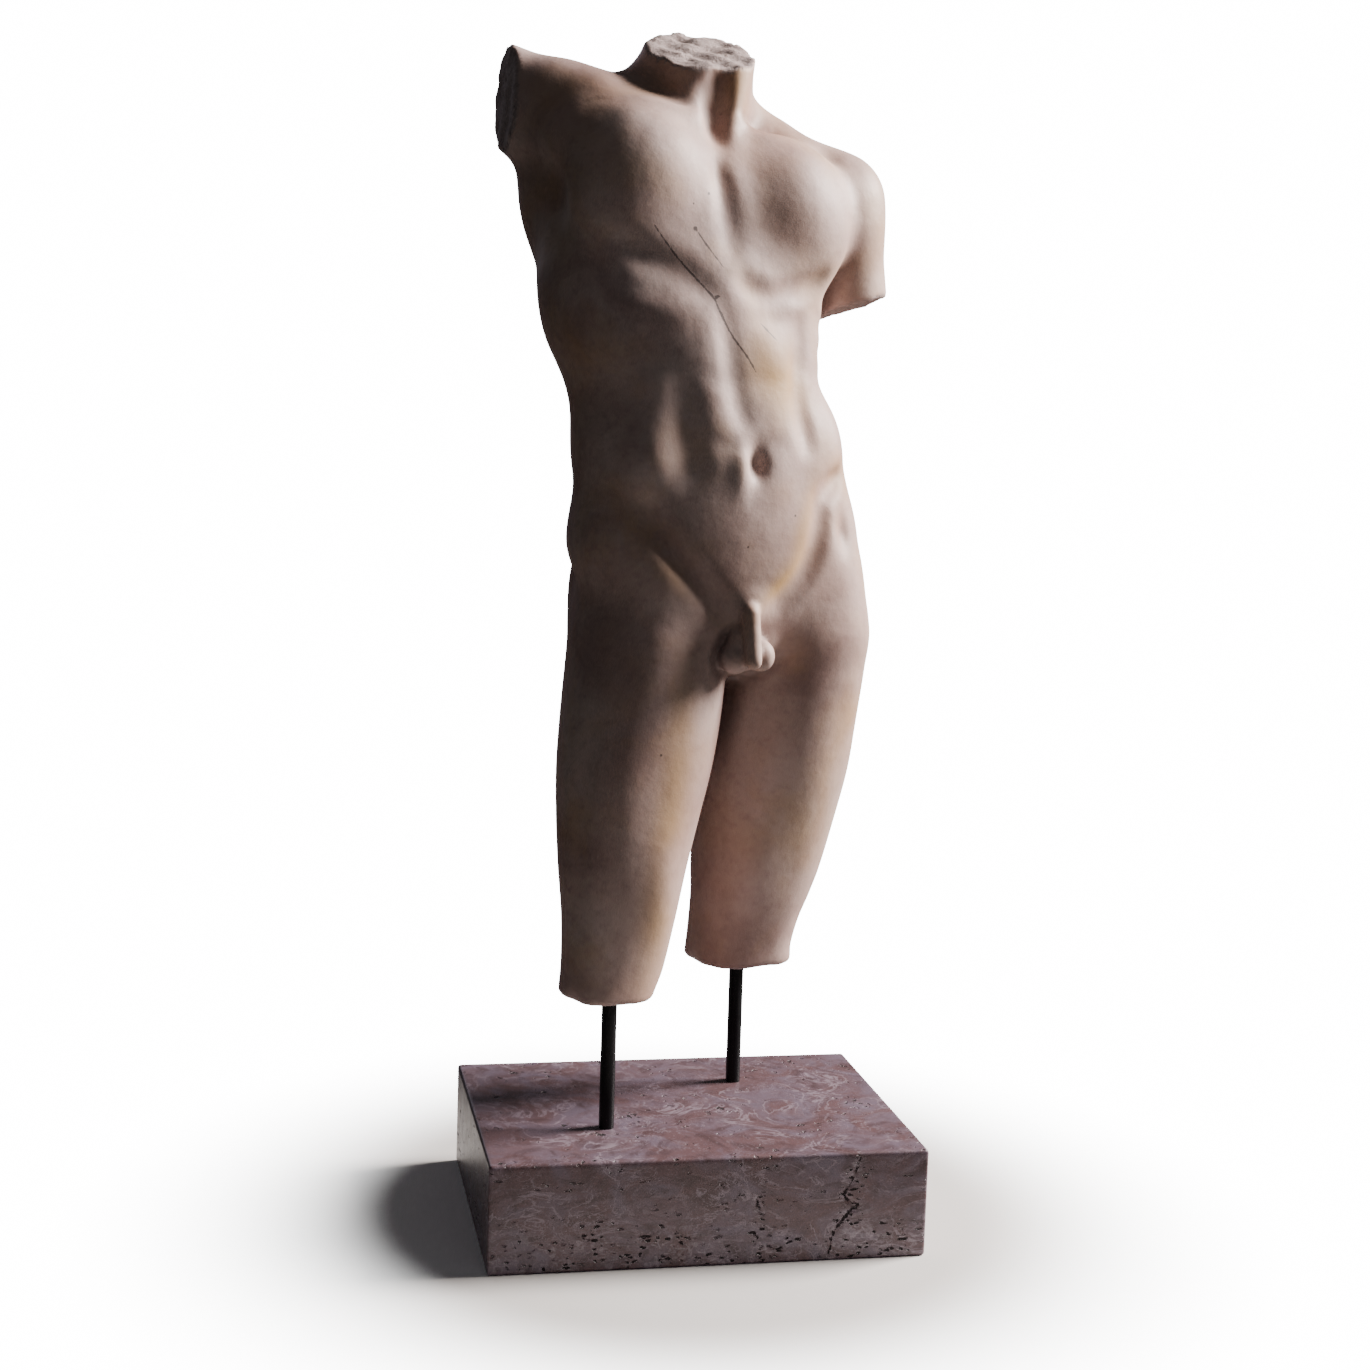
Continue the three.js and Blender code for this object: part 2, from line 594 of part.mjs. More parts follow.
// Where corners of stone would touch only across a diagonal of the grid, the one nearest the surface changes
// sides, so that the surface never meets itself.
function settle(values, strides, size) {
  const corners = [0, 1, 2, 3, 4, 5, 6, 7].map((c) => [c & 1, (c >> 1) & 1, (c >> 2) & 1]);
  const offsets = corners.map((c) => c.reduce((sum, bit, axis) => sum + bit * strides[axis], 0));
  const changedSides = new Uint8Array(values.length);
  const squares = [];
  for (const fixed of [0, 1, 2])
    for (const side of [0, 1]) squares.push(corners.flatMap((c, n) => (c[fixed] === side ? [n] : [])));
  for (let changed = true; changed; ) {
    changed = false;
    for (let k = 0; k < size[2] - 1; k++)
      for (let j = 0; j < size[1] - 1; j++)
        for (let i = 0; i < size[0] - 1; i++) {
          const at = i + j * strides[1] + k * strides[2];
          const inside = offsets.map((o) => values[at + o] < 0);
          const count = inside.filter(Boolean).length;
          if (count < 2 || count > 6) continue;
          const crossed = ([a, b, c, d]) =>
            inside[a] === inside[d] && inside[b] === inside[c] && inside[a] !== inside[b];
          let group = squares.find(crossed);
          for (const alone of [true, false])
            if (!group && (alone ? count : 8 - count) === 2) {
              const pair = offsets.flatMap((_, n) => (inside[n] === alone ? [n] : []));
              if (pair[0] + pair[1] === 7) group = pair;
            }
          const free = (group || []).filter((n) => !changedSides[at + offsets[n]]);
          if (!free.length) continue;
          const weakest = free.reduce((m, n) =>
            Math.abs(values[at + offsets[n]]) < Math.abs(values[at + offsets[m]]) ? n : m);
          values[at + offsets[weakest]] = inside[weakest] ? 0.01 : -0.01;
          changedSides[at + offsets[weakest]] = 1;
          changed = true;
        }
  }
}

// Reads the surface off a grid: one vertex in each cell that the surface passes through, one square of two
// triangles across each grid edge that it crosses, then each vertex is drawn onto the true surface.
function surfaceOf(stone, low, high, step) {
  const [nx, ny, nz] = [0, 1, 2].map((i) => Math.ceil((high[i] - low[i]) / step) + 1);
  const values = new Float32Array(nx * ny * nz);
  const index = (i, j, k) => (k * ny + j) * nx + i;
  for (let k = 0; k < nz; k++)
    for (let j = 0; j < ny; j++)
      for (let i = 0; i < nx; i++)
        values[index(i, j, k)] = stone.distance(low[0] + i * step, low[1] + j * step, low[2] + k * step);
  const strides = [1, nx, nx * ny];
  settle(values, strides, [nx, ny, nz]);
  const cellVertex = new Int32Array(nx * ny * nz).fill(-1);
  const vertices = [];
  for (let k = 0; k < nz - 1; k++)
    for (let j = 0; j < ny - 1; j++)
      for (let i = 0; i < nx - 1; i++) {
        const cell = index(i, j, k);
        const sum = [0, 0, 0];
        let count = 0;
        for (let axis = 0; axis < 3; axis++) {
          const [b, c] = [(axis + 1) % 3, (axis + 2) % 3];
          for (const [p, q] of [[0, 0], [1, 0], [0, 1], [1, 1]]) {
            const a = cell + p * strides[b] + q * strides[c];
            const va = values[a];
            const vb = values[a + strides[axis]];
            if (va < 0 === vb < 0) continue;
            sum[axis] += va / (va - vb);
            sum[b] += p;
            sum[c] += q;
            count++;
          }
        }
        if (!count) continue;
        cellVertex[cell] = vertices.length;
        vertices.push([i, j, k].map((g, axis) => low[axis] + (g + sum[axis] / count) * step));
      }
  const faces = [];
  for (let k = 1; k < nz - 1; k++)
    for (let j = 1; j < ny - 1; j++)
      for (let i = 1; i < nx - 1; i++) {
        const a = index(i, j, k);
        for (let axis = 0; axis < 3; axis++) {
          const inside = values[a] < 0;
          if (inside === values[a + strides[axis]] < 0) continue;
          const [b, c] = [strides[(axis + 1) % 3], strides[(axis + 2) % 3]];
          const ring = [a - b - c, a - c, a, a - b].map((cell) => cellVertex[cell]);
          if (!inside) ring.reverse();
          faces.push([ring[0], ring[1], ring[2]], [ring[0], ring[2], ring[3]]);
        }
      }
  const e = 0.6;
  for (const p of vertices)
    for (let pass = 0; pass < 2; pass++) {
      const [x, y, z] = p;
      const d = THREE.MathUtils.clamp(stone.distance(x, y, z), -2, 2);
      const g = [
        stone.distance(x + e, y, z) - stone.distance(x - e, y, z),
        stone.distance(x, y + e, z) - stone.distance(x, y - e, z),
        stone.distance(x, y, z + e) - stone.distance(x, y, z - e),
      ].map((s) => s / (2 * e));
      const g2 = Math.max(g[0] ** 2 + g[1] ** 2 + g[2] ** 2, 0.2);
      for (let i = 0; i < 3; i++) p[i] -= (g[i] * d) / g2;
    }
  return { vertices, faces };
}

// A closed surface whose edges can be closed up one at a time, the two ends meeting in one point.
class Surface {
  constructor({ vertices, faces }) {
    this.vertices = vertices;
    this.faces = faces;
    this.count = faces.length;
    this.ring = vertices.map(() => new Set());
    faces.forEach((face, f) => face.forEach((i) => this.ring[i].add(f)));
  }

  neighbours(i) {
    const set = new Set();
    for (const f of this.ring[i]) for (const j of this.faces[f]) if (j !== i) set.add(j);
    return set;
  }

  // Whether the surface stays one sheet when the ends of an edge meet.
  canClose(i, j) {
    const near = this.neighbours(i);
    const shared = [...this.ring[i]].filter((f) => this.ring[j].has(f)).length;
    return shared === 2 && [...this.neighbours(j)].filter((v) => near.has(v)).length === 2;
  }

  // Whether a triangle would turn over or become a sliver when the ends meet at a point.
  folds(i, j, point) {
    for (const f of new Set([...this.ring[i], ...this.ring[j]])) {
      if (this.ring[i].has(f) && this.ring[j].has(f)) continue;
      const before = this.faces[f].map((v) => this.vertices[v]);
      const after = this.faces[f].map((v) => (v === i || v === j ? point : this.vertices[v]));
      const [n, m] = [before, after].map(([p, q, r]) => cross(sub(q, p), sub(r, p)));
      const area = Math.hypot(...m);
      const longest = Math.max(...after.map((p, t) => Math.hypot(...sub(p, after[(t + 1) % 3]))));
      if (dot(n, m) < 0.35 * Math.hypot(...n) * area || area < 0.12 * longest * longest) return true;
    }
    return false;
  }

  close(i, j, point) {
    for (const f of [...this.ring[i]].filter((t) => this.ring[j].has(t))) {
      for (const v of this.faces[f]) this.ring[v].delete(f);
      this.faces[f] = null;
      this.count--;
    }
    for (const f of this.ring[j]) {
      this.faces[f] = this.faces[f].map((v) => (v === j ? i : v));
      this.ring[i].add(f);
    }
    this.ring[j].clear();
    this.vertices[i] = point;
  }

  get result() {
    return { vertices: this.vertices, faces: this.faces.filter(Boolean) };
  }
}

const sub = (p, q) => [p[0] - q[0], p[1] - q[1], p[2] - q[2]];
const dot = (p, q) => p[0] * q[0] + p[1] * q[1] + p[2] * q[2];
const cross = (p, q) => [p[1] * q[2] - p[2] * q[1], p[2] * q[0] - p[0] * q[2], p[0] * q[1] - p[1] * q[0]];

// Entries kept in order of their cost.
class Queue {
  constructor() {
    this.items = [];
  }
  push(item) {
    const { items } = this;
    let i = items.push(item) - 1;
    for (let up = (i - 1) >> 1; i > 0 && items[up].cost > item.cost; i = up, up = (i - 1) >> 1) {
      items[i] = items[up];
      items[up] = item;
    }
  }
  pop() {
    const { items } = this;
    const top = items[0];
    const last = items.pop();
    if (!items.length) return top;
    let i = 0;
    for (let c = 1; c < items.length; c = 2 * i + 1) {
      if (c + 1 < items.length && items[c + 1].cost < items[c].cost) c++;
      if (last.cost <= items[c].cost) break;
      items[i] = items[c];
      i = c;
    }
    items[i] = last;
    return top;
  }
}

// Thins a closed surface to a number of triangles: the edge whose loss moves the surface least goes first,
// measured by the planes that meet at its two ends.
function thin(raw, target) {
  const surface = new Surface(raw);
  const { vertices } = surface;
  const quadrics = vertices.map(() => new Float64Array(10));
  for (const face of raw.faces) {
    const [p, q, r] = face.map((i) => vertices[i]);
    const n = cross(sub(q, p), sub(r, p));
    const area = Math.hypot(...n);
    const unit = n.map((x) => x / (area || 1));
    const plane = [...unit, -dot(unit, p)];
    for (const i of face) {
      let t = 0;
      for (let a = 0; a < 4; a++) for (let b = a; b < 4; b++) quadrics[i][t++] += plane[a] * plane[b] * area;
    }
  }
  const error = (Q, [x, y, z]) =>
    Q[0] * x * x + 2 * Q[1] * x * y + 2 * Q[2] * x * z + 2 * Q[3] * x + Q[4] * y * y + 2 * Q[5] * y * z +
    2 * Q[6] * y + Q[7] * z * z + 2 * Q[8] * z + Q[9];
  const meeting = (i, j) => {
    const Q = quadrics[i].map((x, t) => x + quadrics[j][t]);
    const [p, q] = [vertices[i], vertices[j]];
    const length = Math.hypot(...sub(p, q));
    const choices = [p, q, p.map((x, t) => (x + q[t]) / 2)];
    const m = new THREE.Matrix3().set(Q[0], Q[1], Q[2], Q[1], Q[4], Q[5], Q[2], Q[5], Q[7]);
    if (m.determinant() > 1e-5 * (Q[0] + Q[4] + Q[7]) ** 3) {
      const s = new THREE.Vector3(-Q[3], -Q[6], -Q[8]).applyMatrix3(m.invert());
      if (Math.hypot(...sub([s.x, s.y, s.z], choices[2])) < 2 * length) choices.push([s.x, s.y, s.z]);
    }
    const costs = choices.map((point) => error(Q, point) + 1e-3 * length * length);
    const cost = Math.min(...costs);
    return { cost, point: choices[costs.indexOf(cost)], Q };
  };
  const queue = new Queue();
  const age = new Int32Array(vertices.length);
  const offer = (i, j) => queue.push({ i, j, stamp: age[i] + age[j], ...meeting(i, j) });
  for (let i = 0; i < vertices.length; i++) for (const j of surface.neighbours(i)) if (j > i) offer(i, j);
  while (surface.count > target && queue.items.length) {
    const { i, j, stamp, point, Q } = queue.pop();
    if (!surface.ring[i].size || !surface.ring[j].size || age[i] + age[j] !== stamp) continue;
    if (!surface.canClose(i, j) || surface.folds(i, j, point)) continue;
    surface.close(i, j, point);
    quadrics[i] = Q;
    const near = surface.neighbours(i);
    for (const v of [i, ...near]) age[v]++;
    for (const v of near) {
      offer(i, v);
      for (const w of surface.neighbours(v)) if (w !== i) offer(v, w);
    }
  }
  return surface.result;
}

// Closes up the edges shorter than a length, which cutting can leave behind.
function dropShortEdges(raw, length) {
  const surface = new Surface(raw);
  for (let i = 0; i < surface.vertices.length; i++)
    for (const j of surface.neighbours(i))
      if (surface.ring[i].size && surface.ring[j].size && surface.canClose(i, j))
        if (Math.hypot(...sub(surface.vertices[i], surface.vertices[j])) < length)
          surface.close(i, j, surface.vertices[i]);
  return surface.result;
}

function geometryOf({ vertices, faces }) {
  const used = new Map();
  const positions = [];
  for (const face of faces)
    for (const i of face)
      if (!used.has(i)) {
        used.set(i, used.size);
        positions.push(...vertices[i]);
      }
  const geometry = new THREE.BufferGeometry();
  geometry.setAttribute("position", new THREE.Float32BufferAttribute(positions, 3));
  geometry.setIndex(faces.flat().map((i) => used.get(i)));
  return geometry;
}

// Joining and cutting.

const wasm = await Module();
wasm.setup();

function solid(geometry) {
  const bare = geometry.clone();
  bare.deleteAttribute("normal");
  bare.deleteAttribute("uv");
  const merged = mergeVertices(bare, 1e-4);
  return new wasm.Manifold(
    new wasm.Mesh({
      numProp: 3,
      vertProperties: new Float32Array(merged.attributes.position.array),
      triVerts: new Uint32Array(merged.index.array),
    }),
  );
}

function geometryFrom(manifold) {
  const { vertProperties, triVerts } = manifold.getMesh();
  const raw = { vertices: [], faces: [] };
  for (let i = 0; i < vertProperties.length; i += 3) raw.vertices.push([...vertProperties.slice(i, i + 3)]);
  for (let i = 0; i < triVerts.length; i += 3) raw.faces.push([...triVerts.slice(i, i + 3)]);
  return geometryOf(dropShortEdges(raw, SHORTEST_EDGE));
}

// An upright cylinder between two heights.
function pin(x, y, bottom, top, diameter) {
  return new THREE.CylinderGeometry(diameter / 2, diameter / 2, top - bottom, ROUND_SEGMENTS)
    .rotateX(Math.PI / 2)
    .translate(x, y, (bottom + top) / 2);
}

// The pieces.

const rods = Object.entries(RODS).map(([name, [x, y]]) => ({ name, x: x * UNIT, y: y * UNIT }));
const socketDiameter = ROD_DIAMETER + 2 * ROD_CLEARANCE;

function makeTorso() {
  const raw = surfaceOf(carveFigure(), GRID_LOW, GRID_HIGH, GRID_STEP);
  const geometry = geometryOf(thin(raw, TORSO_TRIANGLES))
    .translate(0, 0, -CARVED_CUT)
    .scale(UNIT, UNIT, UNIT)
    .translate(0, 0, LEG_CUT);
  let torso = solid(geometry);
  for (const { x, y } of rods)
    torso = torso.subtract(solid(pin(x, y, LEG_CUT - CUT_OVERRUN, LEG_CUT + ROD_IN_LEG, socketDiameter)));
  return geometryFrom(torso);
}

function makeBase() {
  const [w, d, r] = [BASE_WIDTH / 2 - BASE_EDGE, BASE_DEPTH / 2 - BASE_EDGE, BASE_EDGE];
  const plan = new THREE.Shape();
  plan.moveTo(-w, -d).lineTo(w, -d).lineTo(w, d).lineTo(-w, d).closePath();
  const block = new THREE.ExtrudeGeometry(plan, {
    depth: BASE_HEIGHT - 2 * r,
    bevelEnabled: true,
    bevelThickness: r,
    bevelSize: r,
    bevelSegments: 3,
  }).translate(0, 0, r);
  const socketFloor = BASE_HEIGHT - ROD_IN_BASE;
  let base = solid(block);
  for (const { x, y } of rods)
    base = base.subtract(solid(pin(x, y, socketFloor, BASE_HEIGHT + CUT_OVERRUN, socketDiameter)));
  return geometryFrom(base);
}

function makeRod({ x, y }) {
  const bottom = BASE_HEIGHT - ROD_IN_BASE + ROD_CLEARANCE;
  const top = LEG_CUT + ROD_IN_LEG - ROD_CLEARANCE;
  const [r, c] = [ROD_DIAMETER / 2, ROD_TIP_CHAMFER];
  const profile = [[0, bottom], [r - c, bottom], [r, bottom + c], [r, top - c], [r - c, top], [0, top]];
  return new THREE.LatheGeometry(
    profile.map(([radius, z]) => new THREE.Vector2(radius, z)),
    ROUND_SEGMENTS,
  )
    .rotateX(Math.PI / 2)
    .translate(x, y, 0);
}

function piece(name, geometry, material) {
  const mesh = new THREE.Mesh(geometry, material);
  mesh.name = name;
  return mesh;
}

const sculpture = new THREE.Group();
sculpture.add(piece("torso", makeTorso(), MARBLE));
sculpture.add(piece("base", makeBase(), TRAVERTINE));
for (const rod of rods) sculpture.add(piece(rod.name, makeRod(rod), BLACK_STEEL));

export default sculpture;
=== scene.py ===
"""A marble torso of a standing nude youth, carried by two black rods on a block of red travertine.

Metres, +Z up, the block's front face towards -Y, the origin at the centre of the block's underside. The
carving is worked out in the CAD model's own millimetres and turned to metres when its mesh is made. Left and
right in names are the figure's own.
"""

import logging
import math
from collections.abc import Callable
from dataclasses import dataclass, field
from enum import Enum

import bpy
import numpy as np
from mathutils import Matrix, Vector

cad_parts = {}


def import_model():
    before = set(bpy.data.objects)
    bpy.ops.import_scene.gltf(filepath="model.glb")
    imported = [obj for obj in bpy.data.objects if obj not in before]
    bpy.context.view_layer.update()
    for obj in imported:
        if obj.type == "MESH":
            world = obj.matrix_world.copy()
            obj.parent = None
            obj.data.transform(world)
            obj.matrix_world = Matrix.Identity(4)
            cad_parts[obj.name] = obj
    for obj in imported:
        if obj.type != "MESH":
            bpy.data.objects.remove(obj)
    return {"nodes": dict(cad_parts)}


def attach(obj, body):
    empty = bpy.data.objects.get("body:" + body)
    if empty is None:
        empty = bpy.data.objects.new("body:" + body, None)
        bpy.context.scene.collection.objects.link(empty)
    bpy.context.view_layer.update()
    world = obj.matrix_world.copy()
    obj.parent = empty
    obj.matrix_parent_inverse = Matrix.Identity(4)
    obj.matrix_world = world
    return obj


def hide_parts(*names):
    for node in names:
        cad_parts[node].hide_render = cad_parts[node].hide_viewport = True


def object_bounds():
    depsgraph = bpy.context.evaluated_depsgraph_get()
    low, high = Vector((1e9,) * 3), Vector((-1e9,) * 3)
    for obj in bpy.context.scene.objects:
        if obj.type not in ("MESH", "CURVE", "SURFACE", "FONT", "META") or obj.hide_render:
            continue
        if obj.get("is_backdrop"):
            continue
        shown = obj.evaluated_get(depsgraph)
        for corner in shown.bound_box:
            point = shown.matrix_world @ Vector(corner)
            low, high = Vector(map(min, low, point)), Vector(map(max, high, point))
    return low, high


log = logging.getLogger("torso")

MM = 0.001
SIDES = (1, -1)  # the figure's left, then its right
LATTICE_VALUES = 4096  # random values that the noise draws on
LATTICE_PRIMES = (73856093, 19349663, 83492791)
EVERYWHERE = 1e5  # reach of a step that works on the whole figure
FAR = 1000.0  # distance where there is no stone yet
PATH_STEPS = 8  # points for each stretch of a smooth path
FADE_SHARE = 0.28  # share of a groove's length over which each end fades
MARK_GAP = 60  # distance given to places behind a mark's front, which keeps them unmarked
GRAIN_REACH = 12  # how far from a break its grain is worked out

Array = np.ndarray
Socket = bpy.types.NodeSocket
Triple = tuple[float, float, float]


# Stone as a distance to its surface.


def soft_min(a: Array, b: Array, blend: float) -> Array:
    """Takes the smaller of two distances, with a fillet where they meet.

    Args:
        a: Distances to one surface.
        b: Distances to the other.
        blend: Width of the fillet.

    Returns:
        Distances to the joined surface.
    """
    h = np.maximum(blend - np.abs(a - b), 0) / blend
    return np.minimum(a, b) - h * h * blend * 0.25


def soft_max(a: Array, b: Array, blend: float) -> Array:
    """Takes the larger of two distances, with the edge where they meet eased."""
    return -soft_min(-a, -b, blend)


def turning(x: float, y: float, z: float) -> Array:
    """Works out a turn in degrees about X, then Y, then Z, as a matrix."""
    turns = (Matrix.Rotation(math.radians(angle), 3, axis) for angle, axis in ((x, "X"), (y, "Y"), (z, "Z")))
    about_x, about_y, about_z = turns
    return np.array(about_z @ about_y @ about_x)


def lattice_noise(points: Array, size: float, seed: int) -> Array:
    """Smooth noise between -1 and 1 from random values on a lattice.

    Args:
        points: Places, one a row.
        size: Spacing of the lattice.
        seed: Starts the random values.

    Returns:
        One value for each place.
    """
    values = np.random.default_rng(seed).uniform(-1, 1, LATTICE_VALUES)
    scaled = points / size
    cell = np.floor(scaled).astype(np.int64)
    part = scaled - cell
    weight = part * part * (3 - 2 * part)
    total = np.zeros(len(points))
    for corner in np.ndindex(2, 2, 2):
        index = np.bitwise_xor.reduce((cell + corner) * LATTICE_PRIMES, axis=1)
        share = np.prod(np.where(corner, weight, 1 - weight), axis=1)
        total += share * values[index % LATTICE_VALUES]
    return total


@dataclass(frozen=True)
class Region:
    """A part of the body with its own centre and turn.

    Attributes:
        centre: Where it is, in millimetres.
        turn: Degrees about X, then Y, then Z.
    """

    centre: Triple
    turn: Triple = (0, 0, 0)

    @property
    def axes(self) -> Array:
        """The region's axes, one a column."""
        return turning(*self.turn)

    def at(self, x: float, y: float, z: float) -> Array:
        """Turns a place in the region into one in the model."""
        return np.array(self.centre) + self.axes @ np.array((x, y, z))

    def path(self, *places: Triple) -> list[Array]:
        """Turns places in the region into places in the model."""
        return [self.at(*place) for place in places]

    def frame(self, centre: Triple, radii: Triple, turn: Triple) -> tuple[Array, ...]:
        """Works out where an ellipsoid in the region lies in the model.

        Args:
            centre: Its middle.
            radii: Its half axes.
            turn: Its own turn, in degrees.

        Returns:
            Its middle, its axes as columns, its half axes, and how far it reaches along the model's axes.
        """
        axes = self.axes @ turning(*turn)
        r = np.array(radii, float)
        return self.at(*centre), axes, r, np.abs(axes) @ r


GROUND = Region((0, 0, 0))
PELVIS = Region((17, 12, 600), (0, -4.5, 16))
WAIST = Region((2, 8, 740), (0, 0, 21))
CHEST = Region((-20, 14, 900), (-3, 4, 20))


def smooth_path(places: list[Array]) -> Array:
    """Runs a smooth curve through places.

    Args:
        places: What it passes through.

    Returns:
        The curve's points, one a row.
    """
    held = [2 * places[0] - places[1], *places, 2 * places[-1] - places[-2]]
    curve = []
    for before, start, end, after in zip(held, held[1:], held[2:], held[3:]):
        for t in np.arange(PATH_STEPS) / PATH_STEPS:
            bend = 2 * before - 5 * start + 4 * end - after
            twist = -before + 3 * start - 3 * end + after
            curve.append(0.5 * (2 * start + (end - before) * t + bend * t**2 + twist * t**3))
    return np.array([*curve, places[-1]])


def distance_to_path(points: Array, path: Array) -> tuple[Array, Array]:
    """Measures how far points are from a path.

    Args:
        points: Places, one a row.
        path: The path's points in order.

    Returns:
        The squared distances, and how far along the path the nearest place is, counted in its stretches.
    """
    best = np.full(len(points), np.inf)
    place = np.zeros(len(points))
    for i, (start, end) in enumerate(zip(path, path[1:])):
        run = end - start
        share = np.clip((points - start) @ run / (run @ run + 1e-9), 0, 1)
        squared = ((points - start - share[:, None] * run) ** 2).sum(1)
        nearer = squared < best
        best[nearer] = squared[nearer]
        place[nearer] = (i + share)[nearer]
    return best, place


Change = Callable[[Array, Array], Array]


@dataclass(frozen=True)
class Step:
    """One step of the carving: a change to the distances inside a box.

    Attributes:
        low: The box's lowest corner.
        high: Its highest corner.
        change: Turns the distances at some points into new ones.
    """

    low: Array
    high: Array
    change: Change


@dataclass
class Stone:
    """A body of stone, given by the distance to its surface, negative inside."""

    steps: list[Step] = field(default_factory=list)

    def distance(self, points: Array) -> Array:
        """Measures the distance from points to the surface."""
        d = np.full(len(points), FAR)
        for step in self.steps:
            near = np.all((points > step.low) & (points < step.high), axis=1)
            if near.any():
                d[near] = step.change(d[near], points[near])
        return d

    def gradient(self, points: Array, reach: float = 0.7) -> Array:
        """Measures how the distance changes along each axis."""
        rises = [self.distance(points + shift) - self.distance(points - shift) for shift in np.eye(3) * reach]
        return np.stack(rises, 1) / (2 * reach)

    def add(self, low: Array, high: Array, margin: float, change: Change) -> None:
        """Adds a step that works within a margin of a box."""
        self.steps.append(Step(np.asarray(low, float) - margin, np.asarray(high, float) + margin, change))

    def mass(
        self, region: Region, centre: Triple, radii: Triple, blend: float, turn: Triple = (0, 0, 0)
    ) -> None:
        """Melts an ellipsoid into what is there.

        Args:
            region: What the centre and turn are counted in.
            centre: Its middle.
            radii: Its half axes.
            blend: Width over which it melts in.
            turn: Its own turn, in degrees.
        """
        place, axes, r, reach = region.frame(centre, radii, turn)

        def change(d: Array, points: Array) -> Array:
            q = (points - place) @ axes
            k0 = np.linalg.norm(q / r, axis=1)
            k1 = np.linalg.norm(q / (r * r), axis=1) + 1e-9
            return soft_min(d, np.where(k0 < 0.3, -r.min() * (1 - k0), k0 * (k0 - 1) / k1), blend)

        self.add(place - reach, place + reach, blend + 3, change)

    def limb(self, start: Array, end: Array, r1: float, r2: float, blend: float) -> None:
        """Melts in a cone with round ends.

        Args:
            start: Centre of one end.
            end: Centre of the other.
            r1: Radius at the start.
            r2: Radius at the end.
            blend: Width over which it melts in.
        """
        start = np.asarray(start, float)
        end = np.asarray(end, float)
        axis = end - start
        l2 = axis @ axis
        rr = r1 - r2
        a2 = l2 - rr * rr

        def change(d: Array, points: Array) -> Array:
            p = points - start
            along = p @ axis
            beyond = along - l2
            x2 = ((p * l2 - along[:, None] * axis) ** 2).sum(1)
            y2 = along * along * l2
            z2 = beyond * beyond * l2
            k = np.sign(rr) * rr * rr * x2
            e = (np.sqrt(x2 * a2 / l2) + along * rr) / l2 - r1
            e = np.where(np.sign(along) * a2 * y2 < k, np.sqrt(x2 + y2) / l2 - r1, e)
            e = np.where(np.sign(beyond) * a2 * z2 > k, np.sqrt(x2 + z2) / l2 - r2, e)
            return soft_min(d, e, blend)

        self.add(np.minimum(start, end), np.maximum(start, end), max(r1, r2) + blend + 3, change)

    def column(self, sections: list[tuple[float, ...]], blend: float) -> None:
        """Melts in a column through level sections.

        Args:
            sections: For each one its height, centre x and y, turn, half width, reach forward and back, and
                how square it is.
            blend: Width over which it melts in.
        """
        s = np.array(sections, float)
        z = s[:, 0]
        v = s[:, 1:]
        first = (v[1] - v[0]) / (z[1] - z[0])
        last = (v[-1] - v[-2]) / (z[-1] - z[-2])
        slope = np.vstack([first, (v[2:] - v[:-2]) / (z[2:] - z[:-2])[:, None], last])
        spread = s[:, 4:7].max()

        def change(d: Array, points: Array) -> Array:
            level = np.clip(points[:, 2], z[0], z[-1])
            i = np.clip(np.searchsorted(z, level, side="right") - 1, 0, len(z) - 2)
            h = (z[i + 1] - z[i])[:, None]
            t = (level - z[i])[:, None] / h
            section = (
                (2 * t**3 - 3 * t**2 + 1) * v[i]
                + (t**3 - 2 * t**2 + t) * h * slope[i]
                + (3 * t**2 - 2 * t**3) * v[i + 1]
                + (t**3 - t**2) * h * slope[i + 1]
            )
            x, y, turn, a, front, back, n = section.T
            turn = np.radians(turn)
            dx = points[:, 0] - x
            dy = points[:, 1] - y
            across = dx * np.cos(turn) + dy * np.sin(turn)
            forward = dy * np.cos(turn) - dx * np.sin(turn)
            b = np.where(forward < 0, front, back)
            p = np.abs(across / a) + 1e-6
            q = np.abs(forward / b) + 1e-6
            rr = (p**n + q**n) ** (1 / n)
            g = rr ** (1 - n) * np.hypot(p ** (n - 1) / a, q ** (n - 1) / b)
            beyond = np.maximum(z[0] - points[:, 2], points[:, 2] - z[-1])
            return soft_min(d, soft_max(np.maximum((rr - 1) / g, -40), beyond, 6), blend)

        low = np.array((v[:, 0].min() - spread, v[:, 1].min() - spread, z[0]))
        high = np.array((v[:, 0].max() + spread, v[:, 1].max() + spread, z[-1]))
        self.add(low, high, blend + 3, change)

    def groove(self, places: list[Array], width: float, depth: float) -> None:
        """Cuts a groove along a smooth path that fades out at both ends.

        Args:
            places: What the path passes through.
            width: How far from the path it reaches.
            depth: How deep it is, or how high a ridge where it is negative.
        """
        path = smooth_path(places)
        run = np.r_[0, np.cumsum(np.linalg.norm(np.diff(path, axis=0), axis=1))]
        share = run / run[-1]
        ramps = [np.clip(t / FADE_SHARE, 0, 1) for t in (share, 1 - share)]
        fade = np.prod([t * t * (3 - 2 * t) for t in ramps], axis=0)

        def change(d: Array, points: Array) -> Array:
            squared, place = distance_to_path(points, path)
            strength = np.interp(place, np.arange(len(path)), fade)
            return d + depth * strength * np.exp(-squared / (width * width))

        self.add(path.min(0), path.max(0), 2.6 * width, change)

    def swell(
        self, region: Region, centre: Triple, radii: Triple, height: float, turn: Triple = (0, 0, 0)
    ) -> None:
        """Raises a soft swelling.

        Args:
            region: What the centre and turn are counted in.
            centre: Its middle.
            radii: How far it reaches along its axes.
            height: How high it is, or how deep a hollow where it is negative.
            turn: Its own turn, in degrees.
        """
        place, axes, r, reach = region.frame(centre, radii, turn)

